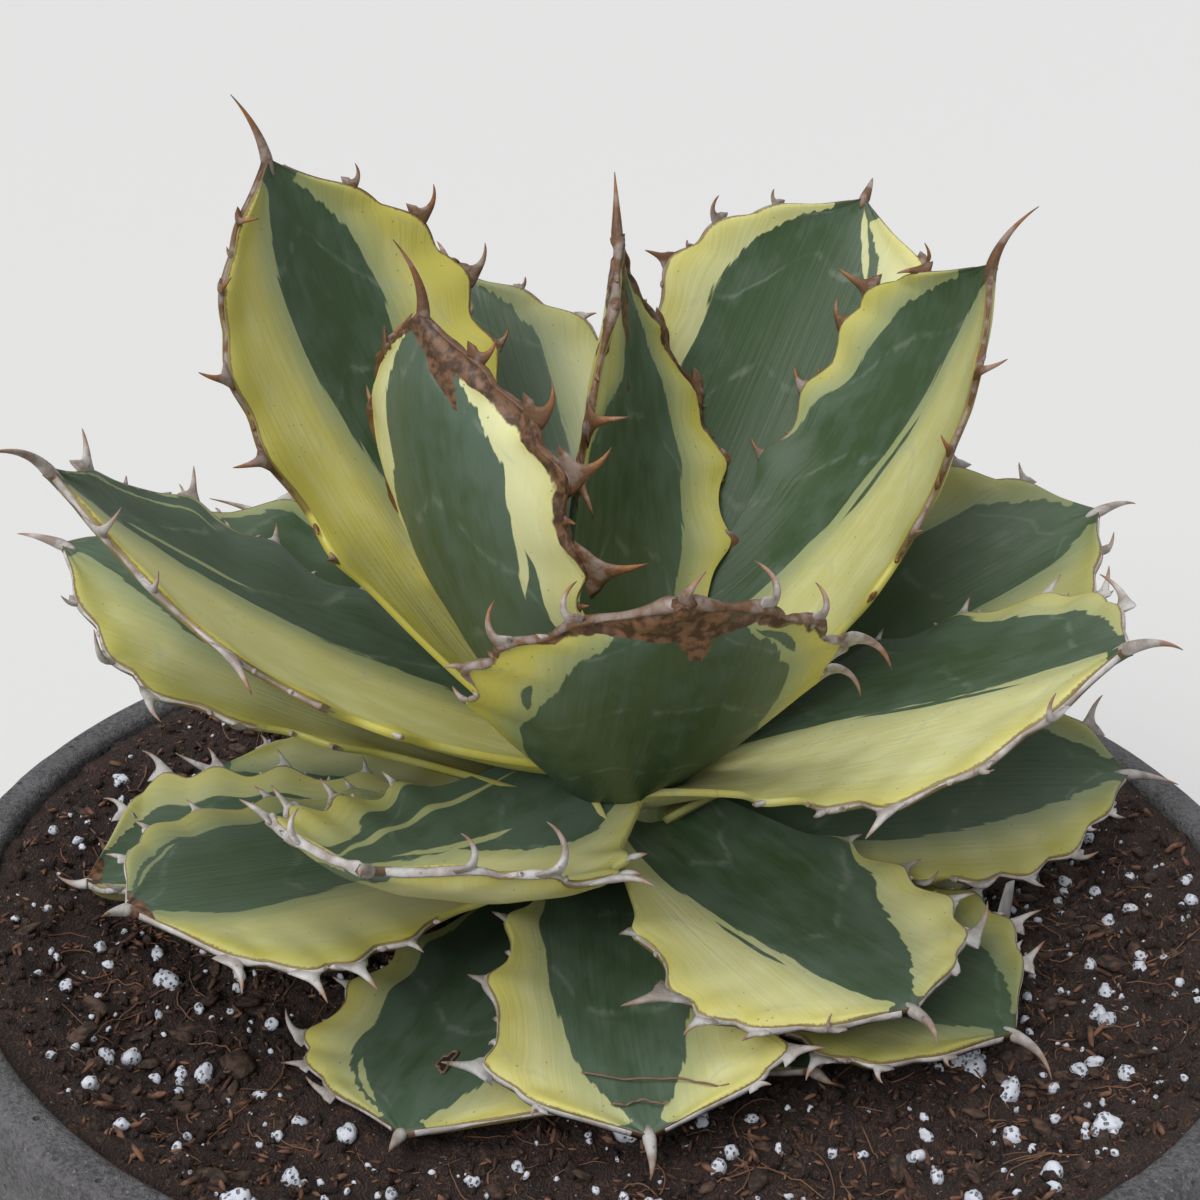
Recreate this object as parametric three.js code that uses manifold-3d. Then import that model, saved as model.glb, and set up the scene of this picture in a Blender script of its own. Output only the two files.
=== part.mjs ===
// A potted snaggle tooth agave: 26 broad, channelled, toothed leaves in a spiral round a short stem,
// planted in soil in a wide concrete bowl.
// Millimetres, +Z up. The origin is the middle of the pot's flat foot.
import * as THREE from "three";
import { mergeVertices } from "three/addons/utils/BufferGeometryUtils.js";
import Module from "manifold-3d";

// Clear space between pieces that touch
const GAP = 0.3;

// Pot
const POT_HEIGHT = 150;
const RIM_RADIUS = 181;
const RIM_WIDTH = 11;
const RIM_ROUND = 3.5;
const FOOT_RADIUS = 126;
const FOOT_ROUND = 4;
const WALL_THICKNESS = 13;
const FLOOR_THICKNESS = 16;
const BELLY = 1.9;
const WALL_STEPS = 4;
const ROUND_SEGMENTS = 40;
const DRAIN_RADIUS = 7;
const DRAIN_CIRCLE = 62;
const DRAIN_COUNT = 4;
const DRAIN_SIDES = 12;

// Soil. SOIL_LINE is where it meets the pot's wall, and leaf roots are measured from that height.
const SOIL_LINE = POT_HEIGHT - 4;
const SOIL_DISH = 12;
const DISH_START = 135;
const DISH_END = 168;
const SOIL_RINGS = [50, 82, 108, 128, 144, 157];
const SOIL_BUMP = 0.8;
const SOIL_SLANT_SHARE = 0.6;

// Stem: widest at the soil and drawn in upward, with the closed bud of the youngest leaves on top
const STEM_RADIUS = 25;
const STEM_TOP_RADIUS = 10;
const STEM_TOP = 42;
const STEM_SKIRT = -16;
const STEM_FOOT = -44;
const STEM_FOOT_RADIUS = 15;
const STEM_SIDES = 16;
const STEM_STEPS = 5;
const STEM_TAPER = 1.4;
const BUD_PROFILE = [
  [7, 47],
  [5.5, 59],
];
const BUD_TOP = 72;

// Leaf blade. Powers shape its outline up to the widest place and down to the tip, and its thickness.
const ROOT_RADIUS = 8;
const ROOT_WIDTH_SHARE = 0.42;
const OPENING_POWER = 1.3;
const CLOSING_POWERS = [2.3, 1.2];
const TRIM_PLACES = [0.62, 0.95];
const ROOT_THICKNESS = 6.5;
const TIP_THICKNESS = 2.6;
const THICKNESS_POWER = 1.3;
const MARGIN_THICKNESS = 1.9;
const FLATTEST_CUP = 1e-3;
const PLAIN_PLACES = [0, 0.19];
const BLADE_END = 0.97;
const BLADE_COLUMNS = [-1, -0.55, 0, 0.55, 1];
const MIDRIB_STEPS = 60;
const HUMP_HEIGHT = 3.4;
const HUMP_SPREAD = 0.045;
const HUMP_VALLEY = 1.0;
const HUMP_START = [0.1, 0.35];
const HUMP_END = [0.92, 0.97];

// Margin teeth, and the spine at the tip
const TOOTH_BASE_SHARE = 0.27;
const TOOTH_MIDDLE_SHARE = 0.11;
const TOOTH_THICKNESS = 1.5;
const BENT_TOOTH = 8;
const PLAIN_BASE = 6;
const SPINE_RADIUS = 1.6;
const SPINE_NECK = 0.3;
const POINT_CLEARANCE = 4;

// One entry a leaf, newest first, each about 137.5 degrees round the stem from the last. azimuth is its
// direction at the root in degrees from +X, and yaw how far it turns on the way to the tip. rise is its
// slope, cup the angle to which its margins lift, and roll its lean about its midrib, each at root and tip.
// length, width and root, the height of its root above the soil line, are millimetres, and widest is a
// share of its length. spine holds the end spine's length and its bend up and to the left, and trim, where
// given, how much narrower the right and left sides get to the tip. left and right list the margins' teeth,
// seen from the stem: the place as a share of the leaf's length, the tooth's length, its lean to the tip
// and its lift off the blade.
const LEAVES = [
  {
    azimuth: 94, yaw: 1, rise: [84, 64], cup: [45, 19], roll: [30, 80],
    length: 131, width: 81, widest: 0.57, root: 43, spine: [17, -2, -5],
    left: [[0.5, 13, -40, 20], [0.6, 12, 5, 50], [0.8, 4, 20, 10]],
    right: [[0.35, 6, -30, 10], [0.53, 7, -10, -60], [0.7, 12, -10, -70], [0.84, 9, -5, -60]],
  },
  {
    azimuth: 214, yaw: 1, rise: [44, 92], cup: [14, 27], roll: [5, 4],
    length: 137, width: 83, widest: 0.69, root: 39, spine: [17, -25, -3],
    left: [[0.42, 8, 10, 10], [0.58, 15, 5, 10], [0.77, 12, 30, 15], [0.86, 10, 60, 10], [0.94, 7, 45, 15]],
    right: [[0.35, 5, 20, 0], [0.55, 5, 20, 10], [0.73, 9, 35, 0], [0.88, 14, 30, 40]],
  },
  {
    azimuth: 18, yaw: -11, rise: [32, 79], cup: [36, 34], roll: [19, -3],
    length: 157, width: 92, widest: 0.82, root: 41, spine: [17, -20, -12], trim: [0.3, 0],
    left: [[0.5, 6, 20, 10], [0.65, 7, 35, 5], [0.79, 8, 50, 0], [0.87, 12, 10, 15], [0.94, 8, -20, 15]],
    right: [[0.45, 5, 20, 0], [0.58, 4, 30, -30], [0.73, 6, 25, 40], [0.86, 10, 35, -45]],
  },
  {
    azimuth: 160, yaw: 9, rise: [40, 77], cup: [36, 31], roll: [-24, -28],
    length: 176, width: 85, widest: 0.72, root: 40, spine: [17, -4, 17], trim: [0, 0.14],
    left: [[0.45, 5, 10, 0], [0.62, 11, 10, -25], [0.74, 10, 25, -20], [0.85, 6, 25, 60], [0.93, 7, -5, 65]],
    right: [[0.45, 7, 20, 10], [0.6, 6, 30, 10], [0.73, 10, 40, 20], [0.85, 10, 45, 20], [0.93, 6, 60, 20]],
  },
  {
    azimuth: 277, yaw: -1, rise: [35, 56], cup: [36, 18], roll: [2, 4],
    length: 130, width: 85, widest: 0.62, root: 28, spine: [5, 30, 40],
    left: [[0.53, 12, -30, -55], [0.68, 15, -30, -45], [0.82, 9, 5, 60], [0.91, 12, 0, 70]],
    right: [[0.5, 5, 10, 20], [0.68, 5, -10, -15], [0.8, 10, 15, 60], [0.9, 9, 15, 75]],
  },
  {
    azimuth: 55, yaw: -2, rise: [52, 52], cup: [38, 22], roll: [21, 30],
    length: 176, width: 87, widest: 0.71, root: 33, spine: [11, -40, 3],
    left: [[0.45, 6, 20, 10], [0.6, 6, 10, 10], [0.75, 8, -10, 10], [0.85, 8, 35, 45], [0.92, 5, 30, 30]],
    right: [[0.45, 6, 20, 10], [0.6, 8, 10, 10], [0.75, 7, 30, 20], [0.92, 7, 25, 75]],
  },
  {
    azimuth: 193, yaw: 9, rise: [14, 53], cup: [33, 11], roll: [-7, -5],
    length: 163, width: 84, widest: 0.66, root: 37, spine: [16, -14, 45], trim: [0, 0.45],
    left: [[0.4, 5, 10, 0], [0.55, 6, 10, 10], [0.7, 13, -25, -20], [0.82, 6, 25, 55], [0.91, 10, 10, 55]],
    right: [[0.4, 6, 20, 10], [0.57, 7, 10, 10], [0.73, 10, 20, 20], [0.93, 12, 30, 15]],
  },
  {
    azimuth: 340, yaw: -26, rise: [25, 35], cup: [34, -13], roll: [1, 20],
    length: 145, width: 93, widest: 0.7, root: 28, spine: [17, -3, -25], trim: [0.3, 0.08],
    left: [[0.4, 5, 20, 10], [0.55, 7, 10, 10], [0.7, 8, 20, 10], [0.82, 9, 10, 30], [0.89, 12, -25, 50]],
    right: [[0.4, 5, 10, 10], [0.55, 6, 10, 10], [0.68, 10, -10, -5], [0.82, 5, 60, 5], [0.91, 8, 40, 80]],
  },
  {
    azimuth: 118, yaw: 1, rise: [48, 50], cup: [32, 22], roll: [-12, -14],
    length: 162, width: 86, widest: 0.63, root: 24, spine: [14, -33, -3],
    left: [[0.4, 7, 10, 10], [0.55, 9, 30, 10], [0.7, 8, 0, 20], [0.85, 9, 30, 20]],
    right: [[0.4, 6, 10, 10], [0.55, 7, 20, 10], [0.7, 6, 10, 10], [0.83, 5, -10, 10], [0.92, 4, 30, 30]],
  },
  {
    azimuth: 237, yaw: 15, rise: [-14, 42], cup: [34, 23], roll: [-8, 4],
    length: 121, width: 77, widest: 0.72, root: 32, spine: [10, -20, 15],
    left: [[0.35, 6, 10, 0], [0.5, 7, 20, -10], [0.66, 13, 10, -20], [0.84, 13, 35, 65], [0.93, 9, 40, 65]],
    right: [[0.4, 5, 10, 0], [0.56, 6, 10, 10], [0.7, 7, 10, 10], [0.82, 9, 10, -5], [0.91, 8, -15, 45]],
  },
  {
    azimuth: 20, yaw: 0, rise: [34, 21], cup: [37, 23], roll: [12, 20],
    length: 155, width: 85, widest: 0.64, root: 21, spine: [15, -30, 13],
    left: [[0.4, 6, 10, 10], [0.55, 8, 20, 10], [0.7, 7, 0, 10], [0.83, 11, 25, 15], [0.92, 6, 10, 10]],
    right: [[0.4, 6, 10, 10], [0.55, 7, -10, 10], [0.7, 8, 10, 0], [0.84, 8, 20, 20], [0.93, 8, 20, 50]],
  },
  {
    azimuth: 170, yaw: 1, rise: [26, 18], cup: [39, 17], roll: [-5, -28],
    length: 162, width: 85, widest: 0.62, root: 21, spine: [15, -29, -13], trim: [0.25, 0.1],
    left: [[0.4, 5, 0, 10], [0.55, 6, 10, 10], [0.7, 10, -40, -15], [0.8, 11, 25, 65], [0.91, 6, 30, 35]],
    right: [[0.4, 6, 10, 10], [0.55, 8, 20, 10], [0.7, 7, 0, 20], [0.85, 8, 30, 10]],
  },
  {
    azimuth: 308, yaw: -2, rise: [-10, 4], cup: [36, -11], roll: [-11, 1],
    length: 107, width: 85, widest: 0.68, root: 23, spine: [14, 5, -28],
    left: [[0.4, 5, 10, 0], [0.55, 6, 10, 10], [0.7, 7, 20, 10], [0.83, 12, -15, 35], [0.91, 5, -50, 30]],
    right: [[0.5, 5, 10, 0], [0.68, 14, 0, 0], [0.77, 7, 10, -10], [0.85, 5, 5, 0], [0.93, 5, 5, 80]],
  },
  {
    azimuth: 82, yaw: 2, rise: [35, 14], cup: [38, 25], roll: [5, -2],
    length: 148, width: 84, widest: 0.63, root: 15, spine: [16, -10, 8],
    left: [[0.38, 6, 10, 10], [0.53, 8, 20, 20], [0.68, 7, -10, 10], [0.8, 9, 30, 10], [0.91, 6, 20, 30]],
    right: [[0.4, 7, 20, 0], [0.56, 9, -10, 20], [0.7, 6, 20, 10], [0.83, 10, 30, 20], [0.92, 6, 40, 10]],
  },
  {
    azimuth: 210, yaw: 9, rise: [2, 12], cup: [35, -8], roll: [6, 1],
    length: 132, width: 87, widest: 0.73, root: 14, spine: [8, 10, 30],
    left: [[0.4, 4, 0, 0], [0.61, 5, -10, -15], [0.73, 10, -5, -15], [0.81, 10, 0, -15], [0.9, 10, 10, -20]],
    right: [[0.4, 5, 10, 10], [0.56, 6, 20, 10], [0.7, 6, 10, 10], [0.81, 5, 25, 10], [0.9, 6, 30, 0]],
  },
  {
    azimuth: 13, yaw: -4, rise: [12, -6], cup: [36, 17], roll: [19, 30],
    length: 146, width: 83, widest: 0.56, root: 11, spine: [17, -13, 0],
    left: [[0.4, 6, 10, 10], [0.54, 7, 20, 10], [0.68, 8, 10, 20], [0.82, 7, 20, 10], [0.93, 11, 20, 15]],
    right: [[0.46, 7, 25, 50], [0.57, 8, 30, 50], [0.68, 6, 20, 5], [0.8, 8, 30, 40], [0.92, 5, 25, 15]],
  },
  {
    azimuth: 140, yaw: 2, rise: [37, 13], cup: [30, 28], roll: [-3, -9],
    length: 153, width: 83, widest: 0.6, root: 5, spine: [12, 20, 40],
    left: [[0.4, 6, 10, 10], [0.55, 7, -10, 10], [0.7, 8, 20, 20], [0.83, 8, 20, 40], [0.93, 8, 40, 50]],
    right: [[0.4, 7, 20, 10], [0.55, 8, 0, 10], [0.7, 7, 30, 0], [0.84, 9, 20, 20]],
  },
  {
    azimuth: 270, yaw: 9, rise: [2, -13], cup: [36, 12], roll: [-2, 2],
    length: 109, width: 67, widest: 0.79, root: 9, spine: [14, 18, -9],
    left: [[0.4, 4, 10, 0], [0.6, 5, 20, 0], [0.84, 9, 20, 10], [0.91, 4, 25, 10]],
    right: [[0.4, 4, 0, 0], [0.6, 5, 10, 10], [0.83, 11, 10, 10], [0.92, 4, 60, 15]],
  },
  {
    azimuth: 50, yaw: -2, rise: [21, 2], cup: [34, 23], roll: [13, 18],
    length: 140, width: 82, widest: 0.65, root: 2, spine: [15, 10, -8],
    left: [[0.38, 6, 10, 10], [0.52, 8, 20, 10], [0.67, 6, -10, 20], [0.8, 9, 20, 10], [0.91, 6, 30, 10]],
    right: [[0.4, 7, 10, 10], [0.55, 6, -20, 10], [0.7, 9, 20, 20], [0.84, 8, 30, 10]],
  },
  {
    azimuth: 184, yaw: 4, rise: [4, -6], cup: [32, 37], roll: [1, 7],
    length: 137, width: 82, widest: 0.84, root: 1, spine: [8, 10, -30],
    left: [[0.45, 4, 0, 10], [0.6, 5, 20, 0], [0.75, 6, 10, 0], [0.88, 6, 30, 10]],
    right: [[0.45, 5, 10, 10], [0.62, 6, 20, 10], [0.76, 7, 20, 10], [0.87, 10, 35, 10], [0.94, 8, 45, 10]],
  },
  {
    azimuth: 323, yaw: -1, rise: [0, -1], cup: [32, 4], roll: [3, 0],
    length: 115, width: 82, widest: 0.72, root: 1, spine: [15, 8, -40],
    left: [[0.4, 5, 10, 0], [0.55, 6, 0, 10], [0.7, 7, 20, 10], [0.82, 9, 25, 10], [0.9, 9, 10, 20]],
    right: [[0.45, 5, 10, 0], [0.62, 6, 20, 0], [0.75, 9, 10, -15], [0.85, 6, 35, -10], [0.93, 4, 35, -5]],
  },
  {
    azimuth: 102, yaw: 2, rise: [11, 2], cup: [36, 23], roll: [4, 0],
    length: 132, width: 82, widest: 0.66, root: -1, spine: [15, 12, 10],
    left: [[0.4, 6, 10, 10], [0.56, 8, 20, 10], [0.7, 7, 10, 10], [0.84, 9, 30, 20]],
    right: [[0.38, 5, 0, 10], [0.54, 7, 20, 10], [0.69, 9, -10, 10], [0.81, 6, 30, 10], [0.91, 7, 40, 10]],
  },
  {
    azimuth: 245, yaw: 4, rise: [-4, -2], cup: [16, -2], roll: [5, 8],
    length: 113, width: 78, widest: 0.72, root: 0, spine: [7, 10, 10],
    left: [[0.45, 4, 10, 0], [0.65, 4, 20, 0], [0.82, 5, 20, 0]],
    right: [[0.42, 4, 10, 0], [0.58, 5, 0, 10], [0.76, 9, -25, 30], [0.84, 6, 15, 5], [0.91, 8, -10, 20]],
  },
  {
    azimuth: 21, yaw: -3, rise: [1, 2], cup: [34, 23], roll: [11, 10],
    length: 112, width: 78, widest: 0.66, root: -5, spine: [12, 15, 5],
    left: [[0.4, 5, 10, 10], [0.56, 6, 20, 10], [0.7, 7, 10, 10], [0.84, 7, 30, 20]],
    right: [[0.4, 5, 0, 10], [0.55, 6, 20, 10], [0.7, 6, 10, 10], [0.84, 6, 30, 20]],
  },
  {
    azimuth: 161, yaw: -2, rise: [-4, 11], cup: [23, 5], roll: [2, -6],
    length: 122, width: 76, widest: 0.76, root: -4, spine: [12, 12, 8],
    left: [[0.45, 4, 10, 0], [0.65, 5, 20, 0], [0.82, 6, 20, 10]],
    right: [[0.4, 5, 10, 10], [0.55, 6, 20, 10], [0.7, 7, 0, 10], [0.87, 5, 40, 20], [0.94, 5, 45, 20]],
  },
  {
    azimuth: 299, yaw: 0, rise: [-4, 6], cup: [8, 2], roll: [4, 2],
    length: 91, width: 80, widest: 0.64, root: -5, spine: [10, 15, -10],
    left: [[0.45, 5, 10, 10], [0.62, 6, 20, 10], [0.78, 6, 10, 10], [0.9, 5, 30, 10]],
    right: [[0.45, 5, 0, 10], [0.62, 6, 10, 10], [0.78, 7, 20, 0], [0.9, 6, 30, 10]],
  },];

const wasm = await Module();
wasm.setup();

const mix = (from, to, share) => from + (to - from) * share;
const radians = THREE.MathUtils.degToRad;
const smoothstep = THREE.MathUtils.smoothstep;

// Makes a closed geometry a solid that can be joined and cut.
function solidOf(geometry) {
  const bare = geometry.clone();
  bare.deleteAttribute("normal");
  bare.deleteAttribute("uv");
  const merged = mergeVertices(bare, 1e-4);
  const vertProperties = new Float32Array(merged.attributes.position.array);
  const triVerts = new Uint32Array(merged.index.array);
  return new wasm.Manifold(new wasm.Mesh({ numProp: 3, vertProperties, triVerts }));
}

// Makes a closed solid of points and the triangles between them.
function solidOfFaces(points, triangles) {
  const geometry = new THREE.BufferGeometry().setFromPoints(points);
  geometry.setIndex(triangles);
  return solidOf(geometry);
}

// Makes a solid a named mesh with its own material.
function meshOf(name, solid, color, roughness) {
  const { vertProperties, triVerts } = solid.getMesh();
  const geometry = new THREE.BufferGeometry();
  geometry.setAttribute("position", new THREE.BufferAttribute(new Float32Array(vertProperties), 3));
  geometry.setIndex(new THREE.BufferAttribute(new Uint32Array(triVerts), 1));
  geometry.computeVertexNormals();
  const material = new THREE.MeshStandardMaterial({ color, roughness, metalness: 0 });
  const mesh = new THREE.Mesh(geometry, material);
  mesh.name = name;
  return mesh;
}

// Keeps the biggest body of a solid and drops the scraps that a cut left.
function biggestBody(solid) {
  return solid.decompose().reduce((best, body) => (body.volume() > best.volume() ? body : best));
}

// Half width of a blade, as a share of its widest, at a share s of its length.
function outlineShare(s, widest) {
  if (s < widest) {
    const opening = Math.sin((Math.PI / 2) * (s / widest)) ** OPENING_POWER;
    return mix(ROOT_WIDTH_SHARE, 1, opening);
  }
  const closing = (s - widest) / (1 - widest);
  return (1 - closing ** CLOSING_POWERS[0]) ** CLOSING_POWERS[1];
}

// How far one margin stands out from the plain outline at s: each tooth sits on a hump.
function humpAt(teeth, s) {
  const humps = teeth.map(([place]) => Math.exp(-(((s - place) / HUMP_SPREAD) ** 2)));
  const fade = smoothstep(s, ...HUMP_START) * (1 - smoothstep(s, ...HUMP_END));
  return fade * (HUMP_HEIGHT * Math.max(0, ...humps) - HUMP_VALLEY);
}

// Thickness of a blade at s: thick at the root, thin at the tip and the margins.
function thicknessAt(s, across) {
  const middle = mix(TIP_THICKNESS, ROOT_THICKNESS, (1 - s) ** THICKNESS_POWER);
  return mix(middle, MARGIN_THICKNESS, across * across);
}

// The places down one margin where the blade has a corner: both sides of each tooth, a valley between two
// teeth, and the plain lengths before and after. A margin with fewer teeth than count gets toothless places
// in its widest gaps.
function marginOf(leaf, teeth, count, grow) {
  const seats = teeth.map((tooth) => ({ place: tooth[0], tooth }));
  while (seats.length < count) {
    const starts = [{ place: PLAIN_PLACES[PLAIN_PLACES.length - 1] }, ...seats];
    const gaps = starts.map((seat, k) => (seats[k]?.place ?? BLADE_END) - seat.place);
    const widest = gaps.indexOf(Math.max(...gaps));
    seats.splice(widest, 0, { place: starts[widest].place + gaps[widest] / 2, tooth: null });
  }
  const corners = PLAIN_PLACES.map((place) => ({ place }));
  seats.forEach(({ place, tooth }, k) => {
    const half = (TOOTH_BASE_SHARE * (tooth ? tooth[1] : PLAIN_BASE) + grow) / leaf.length;
    if (k > 0) {
      const before = corners[corners.length - 1].place;
      corners.push({ place: (before + place - half) / 2 });
    }
    corners.push({ place: place - half, tooth });
    corners.push({ place: place + half });
  });
  corners.push({ place: BLADE_END });
  return corners;
}

// The blade's direction at s.
function directionAt(leaf, s) {
  const slope = radians(mix(...leaf.rise, s));
  const turn = radians(leaf.azimuth + leaf.yaw * s);
  const flat = Math.cos(slope);
  return new THREE.Vector3(flat * Math.cos(turn), flat * Math.sin(turn), Math.sin(slope));
}

// The midrib's points, walked from the root in equal steps.
function midribOf(leaf) {
  const azimuth = radians(leaf.azimuth);
  const start = [ROOT_RADIUS * Math.cos(azimuth), ROOT_RADIUS * Math.sin(azimuth), SOIL_LINE + leaf.root];
  const points = [new THREE.Vector3(...start)];
  for (let i = 0; i < MIDRIB_STEPS; i++) {
    const step = directionAt(leaf, (i + 0.5) / MIDRIB_STEPS).multiplyScalar(leaf.length / MIDRIB_STEPS);
    points.push(points[i].clone().add(step));
  }
  return points;
}

// The midrib's point at s with the blade's own directions there: along it, to its left side, and out of its
// face.
function frameAt(leaf, midrib, s) {
  const place = Math.min(s * MIDRIB_STEPS, MIDRIB_STEPS - 1e-6);
  const low = Math.floor(place);
  const point = midrib[low].clone().lerp(midrib[low + 1], place - low);
  const along = directionAt(leaf, s);
  const turn = radians(leaf.azimuth + leaf.yaw * s);
  const level = new THREE.Vector3(-Math.sin(turn), Math.cos(turn), 0);
  const upper = new THREE.Vector3().crossVectors(along, level);
  const roll = radians(mix(...leaf.roll, s));
  const side = level.clone().multiplyScalar(Math.cos(roll)).addScaledVector(upper, Math.sin(roll));
  const face = upper.clone().multiplyScalar(Math.cos(roll)).addScaledVector(level, -Math.sin(roll));
  return { s, point, along, side, face };
}

// A place on a blade: across runs from -1 at the right margin to 1 at the left, depth down from the upper
// face, and extra widens the blade. Each cross-section is an arc whose margins lift by the cup angle, and a
// trimmed side gets narrower between TRIM_PLACES.
function placeOn(leaf, frame, across, depth, extra) {
  const half = (leaf.width / 2) * outlineShare(frame.s, leaf.widest);
  const radius = half / (radians(mix(...leaf.cup, frame.s)) || FLATTEST_CUP);
  const trim = leaf.trim?.[across < 0 ? 0 : 1] ?? 0;
  const side = half * (1 - trim * smoothstep(frame.s, ...TRIM_PLACES));
  const angle = (across * (side + extra)) / radius;
  const sine = Math.sin(angle);
  const cosine = Math.cos(angle);
  const outward = frame.side.clone().multiplyScalar(cosine).addScaledVector(frame.face, sine);
  const upward = frame.face.clone().multiplyScalar(cosine).addScaledVector(frame.side, -sine);
  const point = frame.point
    .clone()
    .addScaledVector(frame.side, radius * sine)
    .addScaledVector(frame.face, radius * (1 - cosine))
    .addScaledVector(upward, -depth);
  return { point, outward, upward };
}

// The middle and the end of a tooth that stands on a margin and bends over to its lean and lift.
function toothReach(leaf, midrib, across, teeth, [place, length, lean, lift], grow) {
  const frame = frameAt(leaf, midrib, place);
  const seat = placeOn(leaf, frame, across, MARGIN_THICKNESS / 2, humpAt(teeth, place));
  const outward = seat.outward.multiplyScalar(across);
  const reach = (share) => {
    const away = outward.clone().multiplyScalar(Math.cos(radians(lift) * share));
    away.addScaledVector(seat.upward, Math.sin(radians(lift) * share));
    away.multiplyScalar(Math.cos(radians(lean) * share));
    away.addScaledVector(frame.along, Math.sin(radians(lean) * share));
    return seat.point.clone().addScaledVector(away, (length + POINT_CLEARANCE * grow) * share);
  };
  return { middle: reach(0.5), end: reach(1), along: frame.along, upward: seat.upward };
}

// A whole leaf as one closed solid, thicker and wider all round by grow: the upper and lower faces of the
// blade, its two margins with a tooth raised from them at each seat, and the end spine drawn out of the
// last cross-section.
function leafSolid(leaf, grow = 0) {
  const midrib = midribOf(leaf);
  const count = Math.max(leaf.left.length, leaf.right.length);
  const margins = {
    left: marginOf(leaf, leaf.left, count, grow),
    right: marginOf(leaf, leaf.right, count, grow),
  };
  const points = [];
  const triangles = [];
  const quad = (a, b, c, d) => triangles.push(a, b, c, a, c, d);
  const addPoint = (point) => points.push(point) - 1;

  const rings = margins.left.length;
  for (let i = 0; i < rings; i++) {
    for (const lower of [false, true]) {
      for (const across of BLADE_COLUMNS) {
        const s = mix(margins.right[i].place, margins.left[i].place, (across + 1) / 2);
        const hump = humpAt(across < 0 ? leaf.right : leaf.left, s);
        const extra = Math.abs(across) === 1 ? hump + grow : 0;
        const depth = lower ? thicknessAt(s, across) + grow : -grow;
        addPoint(placeOn(leaf, frameAt(leaf, midrib, s), across, depth, extra).point);
      }
    }
  }

  // Raises a tooth from the four corners of a margin's face, given in order round it.
  const raiseTooth = (corners, across, teeth, tooth) => {
    const { middle, end, along, upward } = toothReach(leaf, midrib, across, teeth, tooth, grow);
    let ring = corners;
    if (tooth[1] >= BENT_TOOTH) {
      const wide = TOOTH_MIDDLE_SHARE * tooth[1] + grow;
      const thick = TOOTH_THICKNESS / 2 + grow;
      ring = [[-wide, thick], [-wide, -thick], [wide, -thick], [wide, thick]].map(([ahead, up]) =>
        addPoint(middle.clone().addScaledVector(along, ahead).addScaledVector(upward, up)),
      );
      if (across > 0) ring = [ring[0], ring[3], ring[2], ring[1]];
      for (let k = 0; k < 4; k++) quad(corners[k], corners[(k + 1) % 4], ring[(k + 1) % 4], ring[k]);
    }
    const tip = addPoint(end);
    for (let k = 0; k < 4; k++) triangles.push(ring[k], ring[(k + 1) % 4], tip);
  };

  const columns = BLADE_COLUMNS.length;
  const size = 2 * columns;
  for (let i = 0; i < rings - 1; i++) {
    const here = i * size;
    for (let upper = here; upper < here + columns - 1; upper++) {
      const lower = upper + columns;
      quad(upper, upper + size, upper + size + 1, upper + 1);
      triangles.push(lower, lower + size + 1, lower + size, lower, lower + 1, lower + size + 1);
    }
    const edge = here + columns - 1;
    const rightFace = [here, here + columns, here + columns + size, here + size];
    const leftFace = [edge, edge + size, edge + size + columns, edge + columns];
    if (margins.right[i].tooth) raiseTooth(rightFace, -1, leaf.right, margins.right[i].tooth);
    else quad(...rightFace);
    if (margins.left[i].tooth) raiseTooth(leftFace, 1, leaf.left, margins.left[i].tooth);
    else quad(...leftFace);
  }
  for (let j = 0; j < columns - 1; j++) quad(j, j + 1, j + 1 + columns, j + columns);

  const [length, up, left] = leaf.spine;
  const frame = frameAt(leaf, midrib, 1);
  const spinePoint = (share) =>
    frame.point
      .clone()
      .addScaledVector(frame.along, (length + POINT_CLEARANCE * grow) * share)
      .addScaledVector(frame.face, length * share ** 2 * Math.tan(radians(up)) - MARGIN_THICKNESS / 2)
      .addScaledVector(frame.side, length * share ** 2 * Math.tan(radians(left)));
  const last = (rings - 1) * size;
  const outline = [...Array(columns).keys()].map((j) => last + columns - 1 - j);
  outline.push(...[...Array(columns).keys()].map((j) => last + columns + j));
  const neck = outline.map((_, k) => {
    const turn = (Math.PI * ((k % columns) + 0.5)) / columns + (k < columns ? 0 : Math.PI);
    const radius = SPINE_RADIUS + grow;
    return addPoint(
      spinePoint(SPINE_NECK)
        .addScaledVector(frame.side, radius * Math.cos(turn))
        .addScaledVector(frame.face, radius * Math.sin(turn)),
    );
  });
  const tip = addPoint(spinePoint(1));
  for (let k = 0; k < outline.length; k++) {
    const next = (k + 1) % outline.length;
    quad(outline[k], outline[next], neck[next], neck[k]);
    triangles.push(neck[k], neck[next], tip);
  }
  return solidOfFaces(points, triangles);
}

// A turned solid from [radius, height] pairs that start and end on the axis, from the bottom up.
function turnedSolid(profile, segments) {
  const points = profile.map(([radius, height]) => new THREE.Vector2(Math.max(radius, 0), height));
  return solidOf(new THREE.LatheGeometry(points, segments).rotateX(Math.PI / 2));
}

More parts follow.
